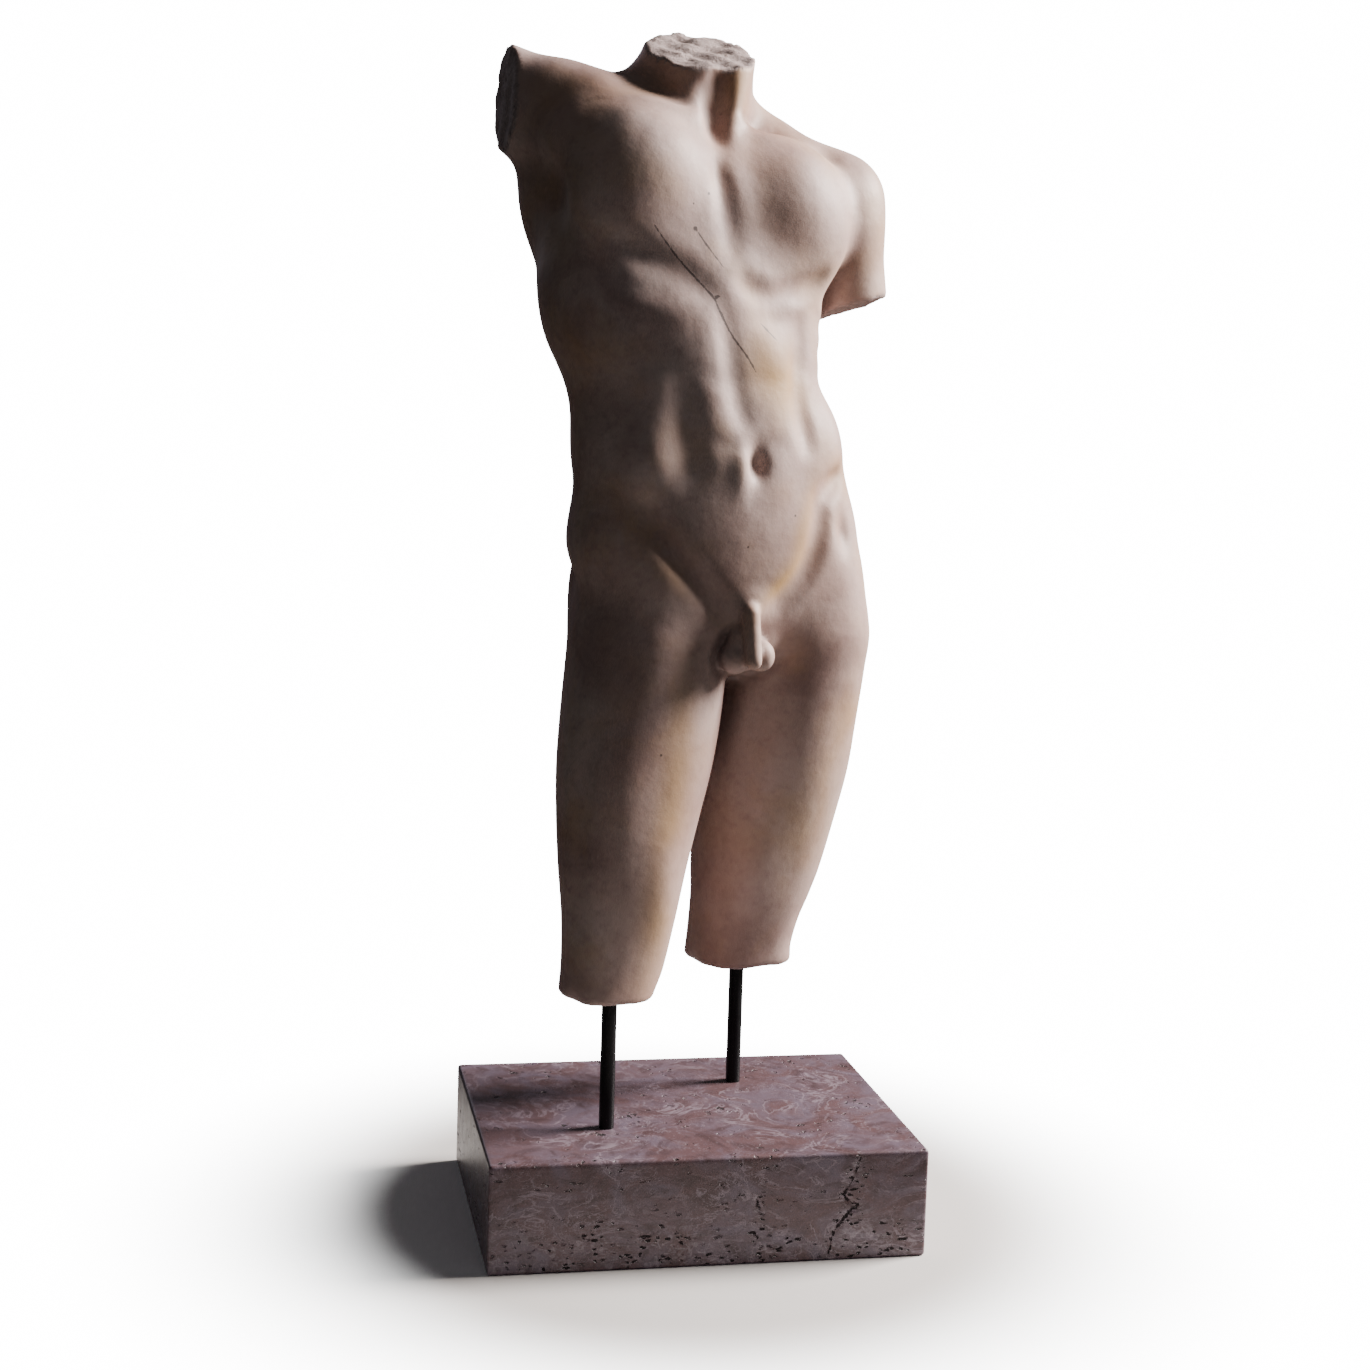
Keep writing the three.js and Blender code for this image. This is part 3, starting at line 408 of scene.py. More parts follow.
        def change(d: Array, points: Array) -> Array:
            q = (points - place) @ axes / r
            return d - height * np.exp(-(q * q).sum(1))

        self.add(place - reach, place + reach, 1.2 * r.max(), change)

    def break_off(self, fracture: "Fracture", beyond_x: float | None = None) -> None:
        """Ends the stone at a fracture.

        Args:
            fracture: The plane and its roughness.
            beyond_x: Where it is given, only the stone on the far side of it is cut.
        """
        def change(d: Array, points: Array) -> Array:
            cut = soft_max(d, fracture.height(points), fracture.edge)
            return cut if beyond_x is None else np.where(points[:, 0] > beyond_x, cut, d)

        self.add(np.full(3, -EVERYWHERE), np.full(3, EVERYWHERE), 0, change)

    def join(self, other: "Stone", blend: float) -> None:
        """Melts another body of stone into this one."""
        kept = [step for step in other.steps if step.high[0] < EVERYWHERE]
        low = np.min([step.low for step in kept], axis=0)
        high = np.max([step.high for step in kept], axis=0)
        self.add(low, high, 0, lambda d, points: soft_min(d, other.distance(points), blend))


@dataclass(frozen=True)
class Fracture:
    """A broken face of the marble.

    Attributes:
        point: A place on it.
        outward: The way it faces.
        edge: How far its rim is eased.
        waves: Waves across it, in radians for a millimetre along x and y.
        wave_height: Their height.
        crumble: Height of the broken grain on it.
        grain: Size of the broken grain.
    """

    point: Triple
    outward: Triple
    edge: float
    waves: tuple[float, float]
    wave_height: float
    crumble: float
    grain: float

    def height(self, points: Array) -> Array:
        """Measures how far points stand out beyond the broken face."""
        n = np.array(self.outward) / np.linalg.norm(self.outward)
        x, y, z = points.T
        wave = np.sin(x * self.waves[0] + y * 0.03 + 1) * np.sin(y * self.waves[1] + z * 0.04)
        flat = (points - np.array(self.point)) @ n
        near = np.abs(flat) < GRAIN_REACH
        rough = np.zeros(len(points))
        for share, seed in ((1.0, 3), (0.5, 4), (0.28, 5)):
            rough[near] += share * np.abs(lattice_noise(points[near], self.grain * share, seed))
        return flat + self.wave_height * wave + self.crumble * rough


@dataclass
class Torso:
    """The marble figure, from the broken neck to the cut ends of both legs.

    Attributes:
        grid: Spacing of the grid that its surface is read from, in millimetres.
        low: The grid's lowest corner.
        high: The grid's highest corner.
        block: Grid steps along a side of the blocks that are measured as one.
        passes: How many times each vertex is moved onto the surface.
    """

    grid: float = 3.4
    low: Triple = (-218, -140, 214)
    high: Triple = (214, 172, 1117)
    block: int = 8
    passes: int = 2
    neck_break: Fracture = Fracture((-11, 0, 1076.5), (0.03, -0.43, 0.905), 3, (0.16, 0.13), 1.6, 2.6, 13)
    left_arm_break: Fracture = Fracture((158, 70, 860), (0.3, -0.1, -0.95), 5, (0.13, 0.15), 0.8, 1.2, 12)
    right_arm_break: Fracture = Fracture((-185, 30, 1030), (-0.99, -0.09, 0.06), 4, (0.05, 0.14), 1, 1.8, 14)
    leg_cut: Fracture = Fracture((0, 0, 226), (0, 0, -1), 4, (0.11, 0.09), 0.8, 0.8, 10)

    def carve_trunk(self, stone: Stone) -> None:
        """Sets up the mass of the trunk, which winds to its left on the way up."""
        stone.column(
            [
                (516, 26, 22, 16, 64, 38, 50, 2.1), (548, 25, 15, 16, 116, 68, 84, 2.2),
                (593, 24, 13, 16, 132, 83, 94, 2.4), (640, 20, 11, 17, 133, 82, 92, 2.4),
                (686, 14, 9, 19, 131, 82, 82, 2.4), (732, 7, 8, 21, 122, 84, 74, 2.4),
                (777, -8, 8, 21, 121, 86, 72, 2.35), (822, -20, 10, 20, 132, 90, 80, 2.3),
                (867, -22, 12, 20, 137, 88, 88, 2.3), (912, -20, 14, 20, 132, 82, 92, 2.3),
                (950, -19, 16, 20, 124, 80, 90, 2.3), (985, -19, 18, 20, 110, 68, 78, 2.2),
                (1012, -17, 20, 20, 74, 52, 58, 2.1),
            ],
            10,
        )

    def carve_thighs(self, stone: Stone) -> None:
        """Sets up the right leg, which is free and comes forward, and the left one, which bears the weight."""
        stone.column(
            [
                (190, -92, -60, 14, 39, 42, 41, 2.5), (226, -86.5, -56, 14, 41, 43, 42, 2.5),
                (252, -80, -51, 14, 46, 47, 46, 2.2), (297, -74.5, -44, 14, 50.5, 54, 52, 2.25),
                (342, -71, -37, 14, 57, 60, 57, 2.3), (388, -66, -30, 14, 64, 65, 61, 2.3),
                (433, -60, -23, 14, 70, 69, 65, 2.3), (479, -54, -16, 15, 72, 72, 70, 2.3),
                (524, -49, -9, 16, 71, 76, 76, 2.3), (570, -44, -2, 16, 69, 76, 82, 2.25),
                (620, -36, 4, 16, 58, 64, 76, 2.2), (664, -26, 8, 16, 34, 40, 50, 2.1),
            ],
            14,
        )
        stone.column(
            [
                (190, 58, 74, 16, 42, 42, 43, 3.2), (226, 64, 68, 16, 47, 46, 45, 3.2),
                (244, 65, 66, 16, 48, 48, 47, 2.7), (269, 68.5, 64, 16, 52, 52, 50, 2.3),
                (295, 73.5, 61, 16, 57.5, 56, 54, 2.15), (320, 77, 59, 16, 62, 59, 57, 2.2),
                (371, 83, 54, 16, 68, 64, 62, 2.2), (421, 89, 49, 16, 72, 68, 66, 2.2),
                (470, 92.5, 44, 16, 72.5, 72, 70, 2.2), (519, 97, 39, 16, 71, 76, 76, 2.2),
                (560, 99.5, 36, 16, 70, 78, 82, 2.2), (620, 95, 32, 16, 60, 62, 76, 2.2),
                (664, 86, 28, 16, 36, 40, 50, 2.1),
            ],
            14,
        )

    def carve_arms(self, stone: Stone) -> None:
        """Sets up both arms: the left one hangs, the right one was raised, and both are broken off."""
        shoulder = np.array((132, 60, 956))
        left = Stone()
        left.limb(CHEST.at(92, 12, 84), shoulder, 51, 44, 26)
        left.limb(CHEST.at(100, -24, 62), shoulder + (2, -10, -34), 36, 32, 26)
        left.limb(shoulder, np.array((157, 72, 826)), 43, 38, 20)
        left.mass(CHEST, (149, 0, 48), (36, 40, 54), 20, (0, 16, 0))
        left.break_off(self.left_arm_break, 60)
        stone.join(left, 12)
        shoulder = np.array((-108, 24, 1002))
        right = Stone()
        right.limb(CHEST.at(-76, 10, 76), shoulder, 50, 51, 30)
        right.limb(shoulder, np.array((-215, 40, 1048)), 51, 42, 22)
        right.mass(GROUND, (-140, 12, 1018), (48, 45, 46), 16, (0, -24, 0))
        right.break_off(self.right_arm_break)
        stone.join(right, 20)

    def carve_neck(self, stone: Stone) -> None:
        """Sets up the neck with its two cords in front, and the slopes from it to the shoulders."""
        top = np.array((-9, 6, 1120))
        neck = Stone()
        neck.limb(np.array((-13, 24, 1000)), top, 51, 49, 20)
        neck.limb(np.array((-4, 38, 1050)), CHEST.at(112, 20, 104), 28, 25, 26)
        neck.limb(np.array((-20, 42, 1057)), CHEST.at(-92, 26, 112), 28, 25, 30)
        for s in SIDES:
            neck.limb(CHEST.at(s * 14 - 9, -50, 98), top + (s * 38, 4, 0), 6, 15, 12)
        neck.groove(CHEST.path((-5, -48, 170), (-7, -52, 140), (-10, -58, 106)), 13, 8.5)
        neck.break_off(self.neck_break)
        stone.join(neck, 16)
        for s in SIDES:
            stone.limb(np.array((-16, 48, 1006)), CHEST.at(s * 78, 46, 62), 42, 40, 26)

    def carve_chest(self, stone: Stone) -> None:
        """Carves the chest plates, the flanks, the shoulder blades and the collar bones."""
        for s in SIDES:
            raised = 0 if s > 0 else 8
            trim = 0 if s > 0 else 1
            stone.mass(CHEST, (s * 62, -34, 30 + raised), (82, 50, 80), 16, (4, s * 4, s * -15))
            stone.limb(CHEST.at(s * 72, -44, 52 + raised), CHEST.at(s * 120, -12, 68 + 2 * raised), 40, 32, 28)
            armpit = CHEST.at(s * 112 + 18 * trim, 26, 40 + raised)
            flank = WAIST.at(s * 88 + 5 * trim, 22, 20 + 28 * trim)
            stone.limb(armpit, flank, 37 - 2 * trim, 31 + 5 * trim, 26)
            stone.mass(CHEST, (s * 68, 54, 36 + raised), (66, 34, 72), 34, (0, 0, s * 14))
        for s, end in ((1, 98), (-1, 122)):
            collar = CHEST.path(
                (s * 12, -58, 104),
                (s * 45, -58, 108 + 0.12 * (end - 98)),
                (s * 85, -38, 104 + 0.6 * (end - 98)),
                (s * 122, -10, end),
            )
            stone.groove(collar, 10, -2.8)
        stone.limb(CHEST.at(-24, -22, 100), CHEST.at(-96, -4, 112), 25, 26, 30)
        stone.swell(CHEST, (56, -34, 120), (26, 16, 12), -3.5)
        stone.swell(CHEST, (-10, -61, 107), (11, 16, 18), -15)
        breastbone = CHEST.path((-16, -60, 84), (-12, -74, 58), (-6, -84, 28), (0, -89, 2), (4, -92, -22))
        stone.groove(breastbone, 11, 6)
        right_border = CHEST.path(
            (-124, -62, 10), (-88, -72, -18), (-46, -84, -32), (-18, -91, -46), (0, -94, -52)
        )
        stone.groove(right_border, 13, 5)
        left_border = CHEST.path(
            (2, -90, -16), (19, -91, -34), (44, -88, -40), (66, -84, -34), (98, -76, -22), (114, -66, -2)
        )
        stone.groove(left_border, 10, 11.5)
        for place, reach, height in (
            ((62, -86, -58), (36, 18, 14), -6),
            ((-70, -78, -46), (40, 18, 14), -2.5),
            ((-102, -67, 2), (6, 6, 6), 2.6),
            ((116, -55, -5), (6, 6, 6), 2.6),
            ((124, -40, 98), (16, 14, 20), -4.5),
        ):
            stone.swell(CHEST, place, reach, height)
        stone.groove(CHEST.path((-104, -46, 104), (-116, -54, 84), (-120, -56, 64), (-128, -50, 44)), 13, 2.2)

    def carve_belly(self, stone: Stone) -> None:
        """Carves the straight muscle, the side pads over the hip bones, the navel and the ribs."""
        middle = [
            *CHEST.path((-2, -94, -40), (-8, -94, -56)),
            *WAIST.path((-28, -89, 84), (-22, -89, 48), (-12, -90, 12), (-4, -90, -8)),
        ]
        stone.groove(middle, 10, 6.5)
        stone.groove(WAIST.path((-92, -60, 110), (-96, -60, 84), (-94, -66, 40)), 22, 3)
        stone.groove(WAIST.path((-74, -72, 66), (-69, -76, 27), (-63, -79, -16), (-54, -82, -58)), 16, 3.8)
        left_edge = WAIST.path((54, -72, 120), (60, -72, 84), (56, -80, 34), (62, -82, -6), (66, -80, -30))
        stone.groove(left_edge, 11, 8)
        for s in SIDES:
            stone.swell(WAIST, (s * 33 - 12, -88, 74), (24, 18, 34), 2)
            stone.swell(WAIST, (s * 33 - 8, -88, 14), (24, 18, 30), 2)
            stone.swell(WAIST, (s * 30 - 2, -86, -34), (22, 16, 26), 2.5)
        for level in (46, -10):
            across = ((-68, -78, level + 6), (-36, -90, level), (-12, -90, level - 2), (20, -88, level))
            stone.groove(WAIST.path(*across, (46, -80, level + 6)), 10, 1.8)
        stone.swell(WAIST, (-98, -60, -26), (22, 28, 30), 9)
        stone.swell(WAIST, (92, -50, -6), (26, 34, 38), 7)
        stone.mass(WAIST, (-88, 0, -14), (38, 56, 54), 24, (0, -6, 0))
        stone.mass(WAIST, (-88, 6, -98), (36, 54, 50), 24)
        stone.mass(WAIST, (94, 0, -16), (42, 56, 58), 24, (0, 8, 0))
        stone.mass(PELVIS, (-2, -56, 52), (66, 31, 66), 18)
        stone.swell(WAIST, (4, -92, -27), (7.5, 14, 11), -16)
        stone.swell(WAIST, (-14, -90, -30), (11, 14, 25), 5)
        for s in SIDES:
            arch = ((14, -84, 118), (46, -80, 92), (72, -64, 62), (98, -34, 46))
            arch = WAIST.path(*((s * x - 14, y, z) for x, y, z in arch))
            stone.groove(arch, 14, 1.6 if s > 0 else 0.8)
            for i in range(4):
                slip = (s * (104 - 3 * i) - 7, -40 + 6 * i, 112 - 24 * i)
                stone.swell(WAIST, slip, (13, 20, 9), 2.2 if s > 0 else 1.2, (0, s * 28, 0))

    def carve_pelvis(self, stone: Stone) -> None:
        """Carves the hips, the grooves of the groin, the buttocks and the sex."""
        for s in SIDES:
            stone.mass(PELVIS, (s * 56 + 2, 52, -8), (66, 64, 80), 22)
        stone.mass(PELVIS, (91, 4, 24), (48, 62, 78), 26)
        stone.mass(PELVIS, (-72, 8, -4), (40, 58, 76), 24)
        stone.mass(PELVIS, (-4, -68, -17), (26, 20, 20), 14)
        right_groin = PELVIS.path(
            (-112, -48, 92), (-100, -66, 82), (-90, -73, 60), (-71, -80, 31), (-55, -84, 12), (-38, -86, -12),
            (-27, -86, -34), (-25, -74, -58),
        )
        stone.groove(right_groin, 10, 12)
        left_groin = PELVIS.path(
            (120, -22, 104), (102, -54, 94), (80, -76, 76), (73, -80, 48), (54, -84, 13), (31, -88, -10),
            (9, -90, -30), (2, -78, -56),
        )
        stone.groove(left_groin, 10, 12)
        stone.swell(PELVIS, (-92, -62, 18), (26, 22, 44), 7, (0, 26, 0))
        stone.swell(PELVIS, (92, -58, 12), (24, 22, 40), 6, (0, -22, 0))
        stone.swell(PELVIS, (102, -62, 40), (10, 14, 18), -6)
        stone.swell(GROUND, (-108, 6, 634), (14, 40, 14), 3)
        stone.groove(PELVIS.path((0, 112, 60), (0, 112, 10), (0, 108, -40), (0, 90, -70)), 14, 13)
        for s in SIDES:
            stone.groove(PELVIS.path((s * 8, 100, -76), (s * 50, 112, -84), (s * 96, 84, -70)), 12, 6)
            stone.swell(PELVIS, (s * 112, 50, 10), (22, 26, 30), -6)
            stone.swell(PELVIS, (s * 34, 104, 74), (14, 14, 14), -5)
        stone.mass(PELVIS, (0, -50, -52), (28, 25, 26), 14)
        sex = Stone()
        sex.limb(PELVIS.at(-9, -88, -20), PELVIS.at(-13, -98, -62), 8.6, 7.6, 4)
        sex.mass(PELVIS, (-20, -75, -60), (15.5, 15, 15.5), 8, (0, 8, 0))
        sex.mass(PELVIS, (3, -81, -60), (13, 14, 15), 6, (0, -6, 0))
        sex.mass(PELVIS, (-12, -76, -44), (15, 13, 16), 6)
        stone.join(sex, 5)

    def carve_back(self, stone: Stone) -> None:
        """Carves the furrow of the spine and the muscles beside it."""
        spine = [
            *CHEST.path((0, 92, 90), (0, 104, 40), (0, 104, -20)),
            *WAIST.path((0, 90, 60), (0, 80, 10), (0, 84, -40)),
            PELVIS.at(0, 100, 60),
        ]
        stone.groove(spine, 14, 9)
        for s in SIDES:
            stone.swell(WAIST, (s * 28, 76, 20), (18, 20, 60), 5)
            blade = CHEST.path((s * 34, 100, 80), (s * 38, 104, 30), (s * 62, 96, -14), (s * 100, 70, -20))
            stone.groove(blade, 11, 4)

    def carve_leg_muscles(self, stone: Stone) -> None:
        """Carves the long muscles of the thighs, the swells above the knees and the chips at the cut ends."""
        stone.swell(GROUND, (-122, -80, 224), (14, 12, 9), -7)
        stone.swell(GROUND, (16, 56, 224), (7, 12, 8), -6)
        outer = GROUND.path((-104, -84, 520), (-114, -74, 430), (-118, -78, 330), (-112, -84, 262))
        stone.groove(outer, 14, 3)
        for place, reach, height in (
            ((-40, -96, 330), (26, 24, 52), 5),
            ((-92, -96, 400), (26, 26, 90), 4),
            ((60, -14, 330), (24, 24, 60), 4),
            ((112, -20, 420), (30, 30, 100), 4),
        ):
            stone.swell(GROUND, place, reach, height)
        stone.groove(GROUND.path((60, -42, 520), (52, -20, 440), (46, 0, 350)), 14, 3.5)
        stone.swell(GROUND, (-20, 48, 440), (26, 30, 80), 4)
        stone.groove(GROUND.path((-50, 36, 480), (-56, 26, 380), (-66, 10, 280)), 13, 3)
        stone.groove(GROUND.path((96, 112, 480), (88, 112, 380), (76, 112, 280)), 13, 3)

    def carve(self) -> Stone:
        """Carves the whole figure.

        Returns:
            The stone with every step of the carving.
        """
        stone = Stone()
        for part in (
            self.carve_trunk, self.carve_thighs, self.carve_arms, self.carve_neck, self.carve_chest,
            self.carve_belly, self.carve_pelvis, self.carve_back, self.carve_leg_muscles,
        ):
            part(stone)
        stone.break_off(self.leg_cut)
        return stone

    def sample(self, stone: Stone) -> Array:
        """Measures the stone on a grid, block by block and only near its surface.

        Args:
            stone: What is measured.

        Returns:
            The distances, by x, y and z step.
        """
        low = np.array(self.low, float)
        blocks = np.ceil((np.array(self.high) - low) / self.grid / self.block).astype(int)
        cells = np.indices(blocks).reshape(3, -1).T
        middle = stone.distance(low + (cells + 0.5) * self.block * self.grid)
        near = np.abs(middle) < 1.3 * self.block * self.grid + 6
        values = np.full(blocks * self.block + 1, 100.0)
        coarse = np.where(middle < 0, -100.0, 100.0).reshape(blocks)
        values[:-1, :-1, :-1] = coarse.repeat(self.block, 0).repeat(self.block, 1).repeat(self.block, 2)
        steps = np.indices((self.block + 1,) * 3).reshape(3, -1).T
        places = (cells[near][:, None] * self.block + steps).reshape(-1, 3)
        flat = np.unique(np.ravel_multi_index(places.T, values.shape))
        places = np.stack(np.unravel_index(flat, values.shape), 1)
        values.ravel()[flat] = stone.distance(low + places * self.grid)
        return values

    def surface(self, values: Array) -> tuple[Array, Array]:
        """Reads the surface off the grid: a vertex in each cell it passes, a square across each edge it cuts.

        Args:
            values: The distances on the grid.

        Returns:
            The vertices in millimetres, and the squares as vertex numbers, facing outwards.
        """
        inside = values < 0
        size = np.array(values.shape) - 1
        views = (tuple(slice(c, c + n) for c, n in zip(corner, size)) for corner in np.ndindex(2, 2, 2))
        count = sum(inside[view].astype(int) for view in views)
        active = (count > 0) & (count < 8)
        cells = np.argwhere(active)
        number = np.full(active.shape, -1)
        number[active] = np.arange(len(cells))
        total = np.zeros((len(cells), 3))
        weight = np.zeros(len(cells))
        faces = []
        for axis in range(3):
            others = [a for a in range(3) if a != axis]
            for shift in np.ndindex(2, 2):
                start = cells.copy()
                start[:, others] += shift
                end = start.copy()
                end[:, axis] += 1
                v0 = values[tuple(start.T)]
                v1 = values[tuple(end.T)]
                cut = (v0 < 0) != (v1 < 0)
                place = start.astype(float)
                place[cut, axis] += v0[cut] / (v0[cut] - v1[cut])
                total[cut] += place[cut]
                weight[cut] += 1
            first = np.take(inside, range(values.shape[axis] - 1), axis)
            second = np.take(inside, range(1, values.shape[axis]), axis)
            edges = np.argwhere(first != second)
            edges = edges[(edges[:, others] > 0).all(1) & (edges[:, others] < size[others]).all(1)]
            ring = []
            for back in ((1, 1), (0, 1), (0, 0), (1, 0)):
                cell = edges.copy()
                cell[:, others] -= back
                ring.append(number[tuple(cell.T)])
            square = np.stack(ring, 1)
            outward = first[tuple(edges.T)] if axis != 1 else second[tuple(edges.T)]
            square[~outward] = square[~outward][:, ::-1]
            faces.append(square)
        vertices = np.array(self.low) + total / weight[:, None] * self.grid
        return vertices, np.concatenate(faces)

    def settle(self, stone: Stone, vertices: Array) -> Array:
        """Draws vertices onto the true surface.

        Args:
            stone: What they lie on.
            vertices: The places to move.

        Returns:
            The moved places.
        """
        for _ in range(self.passes):
            slope = stone.gradient(vertices)
            off = np.clip(stone.distance(vertices), -2, 2)
            vertices = vertices - slope * (off / np.maximum((slope**2).sum(1), 0.2))[:, None]
        return vertices


# Marks on the marble that a material reads from the mesh.


@dataclass(frozen=True)
class Mark:
    """A dark vein, crack or spot on the front of a piece.

    Attributes:
        places: What it runs through, in millimetres; one place makes a spot.
        width: Its half width.
        front: The piece is marked only in front of this plane.
    """

    places: tuple[Triple, ...]
    width: float
    front: float = -25

    def across(self, points: Array) -> tuple[Array, Array]:
        """Measures from the mark to points, over its front.

        Args:
            points: Places on the piece.

        Returns:
            The way across from the mark's middle to each point, with a rise along Y away from it that keeps
            two marks apart, and the mark's half width there.
        """
        flat = points * (1, 0, 1)
        places = [np.array(place, float) * (1, 0, 1) for place in self.places]
        if len(places) == 1:
            way = flat - places[0]
            width = np.full(len(points), self.width)
        else:
            path = smooth_path(places)
            _, along = distance_to_path(flat, path)
            stretch = np.arange(len(path))
            way = flat - np.stack([np.interp(along, stretch, path[:, axis]) for axis in range(3)], 1)
            share = along / (len(path) - 1)
            width = self.width * (0.45 + 0.55 * np.sin(np.pi * np.clip(share, 0.02, 0.98)))
        behind = np.where(points[:, 1] < self.front, 0, MARK_GAP)
        way[:, 1] = 10 * np.maximum(np.linalg.norm(way, axis=1) - 5, 0) + behind
        return way, width


@dataclass(frozen=True)
class Stain:
    """A warm stain on the front of the marble.

    Attributes:
        place: Its middle, in millimetres.
        reach: How far it goes across and up.
        strength: How strong it is, from 0 to 1.
        lean: Degrees that its long way leans to the viewer's right.
    """

    place: Triple
    reach: tuple[float, float]
    strength: float
    lean: float = 0

    def share(self, points: Array) -> Array:
        """Works out how strongly it colours each place."""
        x, _, z = (points - np.array(self.place)).T
        lean = math.radians(self.lean)
        across = (x * math.cos(lean) - z * math.sin(lean)) / self.reach[0]
        up = (x * math.sin(lean) + z * math.cos(lean)) / self.reach[1]
        depth = np.abs(points[:, 1] - self.place[1]) / 45
        return self.strength * np.exp(-(across**2 + up**2 + depth**4))


# Finishes.


def linear(colour: str) -> tuple[float, float, float, float]:
    """Turns an sRGB hex colour into a linear one.

    Args:
        colour: Six hex digits after a hash sign.

    Returns:
        Red, green, blue and full opacity.
    """
    parts = [int(colour[i : i + 2], 16) / 255 for i in (1, 3, 5)]
    red, green, blue = (c / 12.92 if c <= 0.04045 else ((c + 0.055) / 1.055) ** 2.4 for c in parts)
    return red, green, blue, 1.0


def per_metre(size_mm: float) -> float:
    """Works out a pattern's scale from the size of what it draws."""
    return 1000 / size_mm


@dataclass
class Finish:
    """A material under construction.

    Attributes:
        name: The material's name.
        material: The material itself.
    """

    name: str
    material: bpy.types.Material = field(init=False)

    def __post_init__(self) -> None:
        """Makes the empty material."""
        self.material = bpy.data.materials.new(self.name)
        self.material.use_nodes = True
        self.material.node_tree.nodes.clear()

    def add(
        self, kind: str, settings: dict | None = None, links: dict | None = None, out: int | str | None = 0
    ) -> Socket | None:
        """Adds a node.

        Args:
            kind: The node's type, without the ShaderNode before it.
            settings: Its properties by name; a key "ramp" holds a colour ramp's stops, as place and grey.
            links: What each input takes, by the input's name or number: another node's output, or a value.
            out: Which output is wanted, by name or number, or None for a node without any.

        Returns:
            That output.
        """
        node = self.material.node_tree.nodes.new("ShaderNode" + kind)
        for key, value in (settings or {}).items():
            if key == "ramp":
                for i, (place, height) in enumerate(value):
                    stop = node.color_ramp.elements[i] if i < 2 else node.color_ramp.elements.new(place)
                    stop.position = place
                    stop.color = (height, height, height, 1.0)
            else:
                setattr(node, key, value)
        for key, value in (links or {}).items():
            if isinstance(value, Socket):
                self.material.node_tree.links.new(value, node.inputs[key])
            else:
                node.inputs[key].default_value = value
        return None if out is None else node.outputs[out]

    def clouds(
        self,
        place: Socket,
        size_mm: float,
        detail: float,
        stops: tuple[tuple[float, float], ...],
        bend: float = 0.0,
        roughness: float = 0.55,
    ) -> Socket:
        """Draws clouds, or lines where the stops rise and fall again.

        Args:
            place: Where each point is.
            size_mm: Size of the clouds.
            detail: How many finer sizes they hold.
            stops: What the noise's values turn into.
            bend: How far they are drawn out of shape.
            roughness: How strong the finer sizes are.

        Returns:
            A number for each point.
        """
        links = {"Vector": place, "Scale": per_metre(size_mm), "Detail": detail, "Roughness": roughness}
        noise = self.add("TexNoise", {}, {**links, "Distortion": bend})
        return self.add("ValToRGB", {"ramp": stops}, {"Fac": noise})

    def layered(
        self, base: Socket | tuple, *layers: tuple[str | Socket, ...]
    ) -> Socket:
        """Lays colours over one another.

        Args:
            base: The colour below them all.
            layers: For each one its colour and the factors of its share.

        Returns:
            The colour of each point.
        """
        for colour, share, *factors in layers:
            for factor in factors:
                share = self.add("Math", {"operation": "MULTIPLY"}, {0: share, 1: factor})
            above = linear(colour) if isinstance(colour, str) else colour
            base = self.add("Mix", {"data_type": "RGBA"}, {0: share, 6: base, 7: above}, 2)
        return base

    def marked(
        self, place: Socket, ripple_mm: float, waver_mm: float, strength: float
    ) -> Socket:
        """Draws the piece's marks with a wavering edge.

        Args:
            place: Where each point is.
            ripple_mm: Size of the wavering.
            waver_mm: How far it shifts the edge.
            strength: What a mark's middle gives.

        Returns:
            A number for each point, from 0 beside the marks to the strength within them.
        """
        way = self.add("Attribute", {"attribute_name": "mark_way"}, {}, "Vector")
        off = self.add("VectorMath", {"operation": "LENGTH"}, {0: way}, "Value")
        width = self.add("Attribute", {"attribute_name": "mark_width"}, {}, "Fac")
        edge = self.add("Math", {"operation": "SUBTRACT"}, {0: off, 1: width})
        links = {"Vector": place, "Scale": per_metre(ripple_mm), "Detail": 3.0, "Roughness": 0.6}
        noise = self.add("TexNoise", {}, links)
        shift = self.add("Math", {"operation": "MULTIPLY_ADD"}, {0: noise, 1: waver_mm, 2: edge})
        half = 0.5 * waver_mm
        limits = {"From Min": half + 0.5, "From Max": half - 0.5, "To Min": 0.0, "To Max": strength}
        return self.add("MapRange", {"interpolation_type": "SMOOTHSTEP"}, {"Value": shift, **limits})


